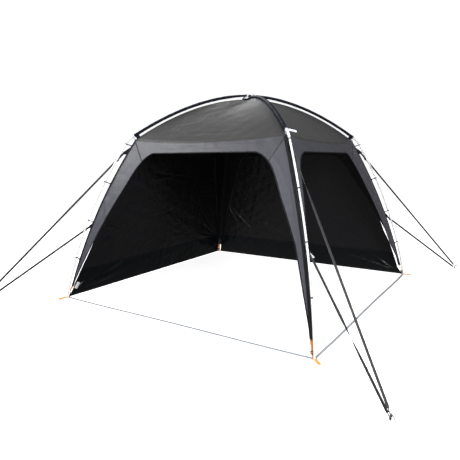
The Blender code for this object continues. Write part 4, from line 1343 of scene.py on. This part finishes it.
for corner in CORNERS:
    across = turned(CORNERS[corner])
    for level, (low, length, reach, end_height) in GUYS.items():
        name = f"{level}_{corner}"
        start_height = low + 0.012
        start = radius_at(EDGE_CIRCLE, start_height) + reach - 0.006
        outline = [(radius_at(EDGE_CIRCLE, h) + 0.002, h) for h in np.linspace(low + length, low, 9)]
        outline += [(start + 0.006, low), (start + 0.006, low + 0.024)]
        points, count = [], len(outline)
        for sideways in (-0.0011, 0.0011):
            points += [in_corner(corner, place, sideways) for place in outline]
        faces = [tuple(range(count)), tuple(range(count, 2 * count))]
        faces += [(i, (i + 1) % count, count + (i + 1) % count, count + i) for i in range(count)]
        flats = [tuple(tuple(map(float, outline[i % count])) for i in face) for face in faces]
        tab = [(np.array(points), faces, flats)]
        add_piece("guy_tab_" + name, tab, HEM, angle=20)
        aside = GUY_ASIDE[level][corner]
        begin = in_corner(corner, (start, start_height), aside)
        peg = peg_point(corner, end_height)
        towards = unit(peg - begin)
        level_run = math.hypot(towards[0], towards[1])
        end = peg - towards * 0.03 / level_run
        upright = unit(np.cross(towards, across))
        shares = np.linspace(0, 1, GUY_STEPS)
        path = np.array([begin + (end - begin) * share for share in shares])
        turns = [strap_turn(level, corner, share) for share in shares]
        ways = np.array([turned_about(upright, towards, turn) for turn in turns])
        strap = swept(path, tape(*GUY_WEBBING), ways)
        flat_way = unit(np.array((towards[0], towards[1], 0)))
        axis = unit(peg_point(corner, GUY_PEG_TOP) - peg)
        outward = unit(np.cross(across, axis))
        circle = [peg + outward * u + across * v for u, v in round_ring(0.0071, 20)]
        neck = [peg - towards * 0.04 / level_run, peg - flat_way * 0.0071]
        ring_tape = tape(*GUY_RING_WEBBING)
        shapes = [strap, swept(circle, ring_tape, axis, closed=True), swept(neck, ring_tape, across)]
        add_piece("guy_webbing_" + name, shapes, BLACK_WEBBING, [f"guy_{level}_{corner}"])
        if name == "lower_front":
            run = np.linspace(0.012, 0.052, 8)
            flag = np.array([begin + (end - begin) * t + across * 0.004 for t in run])
            widths = np.linspace(0.012, 0.040, 8)
            facing = [swept(flag, np.array([tape(w, 0.0022) for w in widths]), unit(across + 0.4 * UP))]
            add_piece("guy_facing_" + name, facing, WHITE_WEBBING)
        for inset in (-0.009, 0.009):
            lane = path + ways * inset
            seam_lines.append(lane[-8:] + np.cross(towards, ways)[-8:] * 0.0013)
        slide, way = path[SLIDER_STEP], ways[SLIDER_STEP]
        hardware = ladder_slider(slide, towards, way, unit(np.cross(towards, way)))
        beyond = across * math.copysign(0.006, aside)
        wide = across * 0.011 if (level, corner) == ("lower", "front") else 0
        bar = [in_corner(corner, (start, start_height)) - beyond, begin + beyond + wide]
        hardware.append(swept(bar, round_ring(0.0034, 12), towards))
        add_piece("guy_slider_" + name, hardware, BLACK_PLASTIC)

for corner in CORNERS:
    across = turned(CORNERS[corner])
    path = np.array([peg_point(corner, h) for h in np.linspace(0.0005, GUY_PEG_TOP, 6)])
    shapes = [swept(path, round_ring(0.0048, 16), across)]
    top = path[-1] - UP * 0.004
    hook = [top - CORNERS[corner] * 0.004, top + CORNERS[corner] * 0.012]
    for turn in np.radians(np.linspace(90, 0, 8)):
        away, rise = 0.016 + 0.012 * math.cos(turn), 0.012 * math.sin(turn) - 0.012
        hook.append(top + CORNERS[corner] * away + UP * rise)
    hook.append(hook[-1] - UP * 0.006)
    shapes.append(swept(hook, round_ring(0.0040, 16), across))
    add_piece("peg_head_" + corner, shapes, PEG_STEEL, ["guy_peg_" + corner])


# Feet: orange webbing, buckle, plate and peg handle; the pale straps on the ground

def buckle_radius(height):
    return FOOT_RADIUS - 0.0345 + (0.05 - height) * 0.42


for corner in CORNERS:
    out = CORNERS[corner]
    across = turned(out)
    foot = in_corner(corner, (FOOT_RADIUS, 0))
    edge = radius_at(EDGE_CIRCLE, CLOTH_FOOT_HEIGHT)
    shift = FOOT_STRAP_ASIDE[corner]
    places = [(edge - 0.008, 0.134, 0.9), (edge - 0.008, 0.126, 0.9), (FOOT_RADIUS - 0.038, 0.09, 0.9)]
    places += [(FOOT_RADIUS - 0.034, 0.05, 1.0), (FOOT_RADIUS - 0.024, 0.026, 0.6)]
    places += [(FOOT_RADIUS - 0.016, 0.009, 0.2), (FOOT_RADIUS - 0.013, 0.0025, 0.0)]
    strap = [in_corner(corner, place[:2], shift * place[2]) for place in places]
    widths = (0.034, 0.033, 0.029, 0.024, 0.022, 0.021, 0.021)
    ways = [across + out * FOOT_STRAP_TURN[corner] * share for share in (0.9, 0.9, 0.6, 0.15, 0, 0, 0)]
    webbing = [swept(strap, np.array([tape(wide, 0.0026) for wide in widths]), unit(np.array(ways)))]
    plate = [foot + np.array((x, 0, 0.0015)) for x in (-0.0175, 0.0, 0.0175)]
    webbing.append(swept(plate, tape(0.035, 0.0028), np.array((0.0, 1, 0))))
    add_piece("foot_webbing_" + corner, webbing, ORANGE_WEBBING, ["foot_anchor_" + corner])
    buckle = []
    for height in (0.033, 0.050):
        bar = in_corner(corner, (buckle_radius(height), height), shift * height / 0.05)
        buckle.append(swept([bar - across * 0.0165, bar + across * 0.0165], round_ring(0.0042, 12), out))
    for sign in (-1, 1):
        rail = []
        for height in (0.031, 0.052):
            place = (buckle_radius(height), height)
            rail.append(in_corner(corner, place, sign * 0.0150 + shift * height / 0.05))
        buckle.append(swept(rail, tape(0.005, 0.007), across))
    add_piece("foot_buckle_" + corner, buckle, BLACK_PLASTIC)
    turn = Matrix.Rotation(math.radians(FOOT_PEG_TURN[corner]), 3, "Z")
    way, beside = np.array(turn @ Vector(out)), np.array(turn @ Vector(across))
    lean = math.radians(FOOT_PEG_LEAN[corner])
    end = FOOT_PEG_END[corner]
    run = np.linspace(0.0155, end - 0.0005, 34)
    from_end = np.minimum(run - 0.015, end - run)
    round_end = np.sqrt(np.clip(1 - (1 - np.clip(from_end / 0.010, 0.06, 1)) ** 2, 0.02, 1))
    waist = 1 - 0.22 * np.exp(-((run - 0.05) / 0.013) ** 2)
    outline = [(math.cos(a), math.sin(a)) for a in 2 * math.pi * np.arange(16) / 16]
    sections = []
    for size in round_end * waist:
        w, t = 0.0165 * size, 0.004 * (0.45 + 0.55 * size)
        sections.append([(w * x * (1 - 0.12 * abs(y)), t * y) for x, y in outline])
    rise = 0.0042 + 0.0150 * abs(math.sin(lean)) * smooth((run - 0.008) / 0.022)
    handle = [foot + way * r + UP * z for r, z in zip(run, rise)]
    leant = unit(beside * math.cos(lean) + UP * math.sin(lean))
    add_piece("foot_peg_" + corner, [swept(handle, sections, leant)], ORANGE_PLASTIC)

for side in OPEN_SIDES:
    outward, left, right = SIDES[side]
    feet = [in_corner(corner, (FOOT_RADIUS, 0)) for corner in (left, right)]
    ahead = unit(feet[1] - feet[0]) * 0.0186
    run = np.linspace(0, 1, 120)
    start, end = feet[0] + ahead, feet[1] - ahead
    drift = 0.004 * np.sin(run * 9.0) * smooth(run / 0.1) * smooth((1 - run) / 0.1)
    path = np.array([start + (end - start) * t + outward * d + UP * 0.0036 for t, d in zip(run, drift)])
    webbing = [swept(path, tape(*GROUND_WEBBING), outward)]
    add_piece("ground_webbing_" + side, webbing, PALE_WEBBING, ["ground_strap_" + side])

outward = SIDES["back_left"][0]
label_rise = np.linspace(-0.032, 0.032, 8)
label_path = [on_side(outward, 1.408 - 0.62 * h, 0.126 + h) - outward * 0.024 for h in label_rise]
add_piece("blank_label", [swept(label_path, tape(*LABEL_TAPE), turned(outward))], LABEL)


# Stitches and zip teeth, made with Geometry Nodes along their lines

def repeat_tree(name, solid, finish):
    """A node tree that lays one small solid at every pitch along the lines it is given."""
    tree = bpy.data.node_groups.new(name, "GeometryNodeTree")
    tree.interface.new_socket("Lines", in_out="INPUT", socket_type="NodeSocketGeometry")
    for label in ("Pitch", "Length", "Width"):
        tree.interface.new_socket(label, in_out="INPUT", socket_type="NodeSocketFloat")
    tree.interface.new_socket("Solids", in_out="OUTPUT", socket_type="NodeSocketGeometry")
    given = tree.nodes.new("NodeGroupInput").outputs
    out = tree.nodes.new("NodeGroupOutput").inputs
    curve = wire(tree, "GeometryNodeMeshToCurve", {0: given["Lines"]}).outputs[0]
    put = {"Curve": curve, "Length": given["Pitch"]}
    spaced = wire(tree, "GeometryNodeResampleCurve", put, mode="LENGTH").outputs[0]
    ahead = wire(tree, "GeometryNodeInputTangent").outputs[0]
    facing = wire(tree, "FunctionNodeAlignRotationToVector", {"Vector": ahead}, axis="X").outputs[0]
    if solid == "spindle":
        made = wire(tree, "GeometryNodeMeshUVSphere", {"Segments": 4, "Rings": 2, "Radius": 0.5}).outputs[0]
    else:
        made = wire(tree, "GeometryNodeMeshCube", {"Size": (1.0, 1.0, 1.0)}).outputs[0]
    put = {0: given["Length"], 1: given["Width"], 2: given["Width"]}
    size = wire(tree, "ShaderNodeCombineXYZ", put).outputs[0]
    put = {"Points": spaced, "Instance": made, "Rotation": facing, "Scale": size}
    placed = wire(tree, "GeometryNodeInstanceOnPoints", put).outputs[0]
    real = wire(tree, "GeometryNodeRealizeInstances", {0: placed}).outputs[0]
    done = wire(tree, "GeometryNodeSetMaterial", {"Geometry": real, "Material": finish}).outputs[0]
    tree.links.new(done, out[0])
    return tree


def add_repeats(name, tree, lines, sizes):
    """One object of all the small solids that a node tree lays along the lines."""
    points, edges = [], []
    for line in lines:
        edges += [(len(points) + i, len(points) + i + 1) for i in range(len(line) - 1)]
        points += [tuple(p) for p in line]
    mesh = bpy.data.meshes.new(name + "_lines")
    mesh.from_pydata(points, edges, [])
    guide = new_object(name + "_lines", mesh)
    step = guide.modifiers.new("Repeat", "NODES")
    step.node_group = tree
    for item in tree.interface.items_tree:
        if item.in_out == "INPUT" and item.name in sizes:
            step[item.identifier] = sizes[item.name]
    graph = bpy.context.evaluated_depsgraph_get()
    result = bpy.data.meshes.new_from_object(guide.evaluated_get(graph))
    result.name = name
    bpy.data.objects.remove(guide)
    return finish_piece(new_object(name, result))


stitch_tree = repeat_tree("lockstitch", "spindle", THREAD)
add_repeats("lockstitches", stitch_tree, seam_lines, STITCHES)
teeth_tree = repeat_tree("zip_teeth", "block", ZIP)
add_repeats("wall_zip_teeth", teeth_tree, zip_lines, ZIP_TEETH)


# Floor, light and camera

def add_floor():
    mesh = bpy.data.meshes.new("studio_floor")
    far, level = 60.0, -0.0012
    corners = [(-far, -far, level), (far, -far, level), (far, far, level), (-far, far, level)]
    mesh.from_pydata(corners, [], [(0, 1, 2, 3)])
    material = bpy.data.materials.new("studio_floor")
    material.use_nodes = True
    shader = material.node_tree.nodes["Principled BSDF"].inputs
    shader["Base Color"].default_value = (0.95, 0.95, 0.95, 1.0)
    shader["Roughness"].default_value = 0.9
    shader["Specular IOR Level"].default_value = 0.0
    shader["Emission Color"].default_value = (1.0, 1.0, 1.0, 1.0)
    shader["Emission Strength"].default_value = 0.76
    mesh.materials.append(material)
    floor = new_object("studio_floor", mesh)
    floor.visible_diffuse = False
    floor.visible_glossy = False


def add_studio():
    """White all round for the eye; as light, soft and stronger from the front left."""
    world = bpy.data.worlds.new("studio")
    world.use_nodes = True
    tree = world.node_tree
    ways = tree.nodes.new("ShaderNodeTexCoord").outputs["Generated"]
    high = wire(tree, "ShaderNodeSeparateXYZ", {0: ways}).outputs["Z"]
    facing = {0: ways, 1: (-0.70, -0.71, 0.0)}
    towards = wire(tree, "ShaderNodeVectorMath", facing, operation="DOT_PRODUCT").outputs["Value"]
    level = ranged(tree, high, -0.1, 0.9, 0.34, 0.66)
    level = sums(tree, "MULTIPLY", level, ranged(tree, towards, -0.8, 0.9, 0.38, 1.05))
    seen = tree.nodes.new("ShaderNodeLightPath").outputs["Is Camera Ray"]
    strength = sums(tree, "MAXIMUM", level, sums(tree, "MULTIPLY", seen, 1.05))
    back = tree.nodes["Background"].inputs
    back["Color"].default_value = (1.0, 1.0, 1.0, 1.0)
    tree.links.new(strength, back["Strength"])
    bpy.context.scene.world = world


def add_light(name, place, target, size, power):
    light = bpy.data.lights.new(name, "AREA")
    light.shape = "RECTANGLE"
    light.size, light.size_y = size
    light.energy = power
    thing = new_object(name, light)
    thing.location = place
    thing.rotation_euler = (Vector(target) - Vector(place)).to_track_quat("-Z", "Y").to_euler()
    thing.visible_camera = False


def add_camera():
    camera = bpy.data.cameras.new("camera")
    camera.sensor_width = 36.0
    camera.lens = 34.65
    camera.shift_x = -0.020
    camera.shift_y = 0.0037
    camera.clip_end = 200.0
    thing = new_object("camera", camera)
    azimuth, elevation, roll = (math.radians(a) for a in (32.09, 9.24, -0.26))
    level = math.cos(elevation)
    ahead = Vector((-math.sin(azimuth) * level, math.cos(azimuth) * level, -math.sin(elevation)))
    right = Vector((math.cos(azimuth), math.sin(azimuth), 0))
    above = right.cross(ahead)
    across = right * math.cos(roll) + above * math.sin(roll)
    upward = above * math.cos(roll) - right * math.sin(roll)
    turn = Matrix((across, upward, -ahead)).transposed().to_4x4()
    thing.matrix_world = Matrix.Translation((2.701, -4.547, 1.523)) @ turn
    bpy.context.scene.camera = thing


add_floor()
add_studio()
add_light("key_light", (-3.5, -3.1, 4.2), (-0.5, -0.7, 1.9), (2.2, 2.2), 185)
add_light("fill_light", (4.4, -3.0, 2.9), (0.5, -0.4, 1.6), (1.8, 1.6), 230)
add_light("front_light", (0.2, -7.2, 2.7), (0.3, -0.5, 1.3), (3.4, 2.4), 110)
add_light("back_light", (-6.4, 4.6, 5.6), (-0.3, -0.3, 2.2), (3.4, 2.4), 460)
add_camera()
bpy.context.scene.view_settings.view_transform = "Standard"
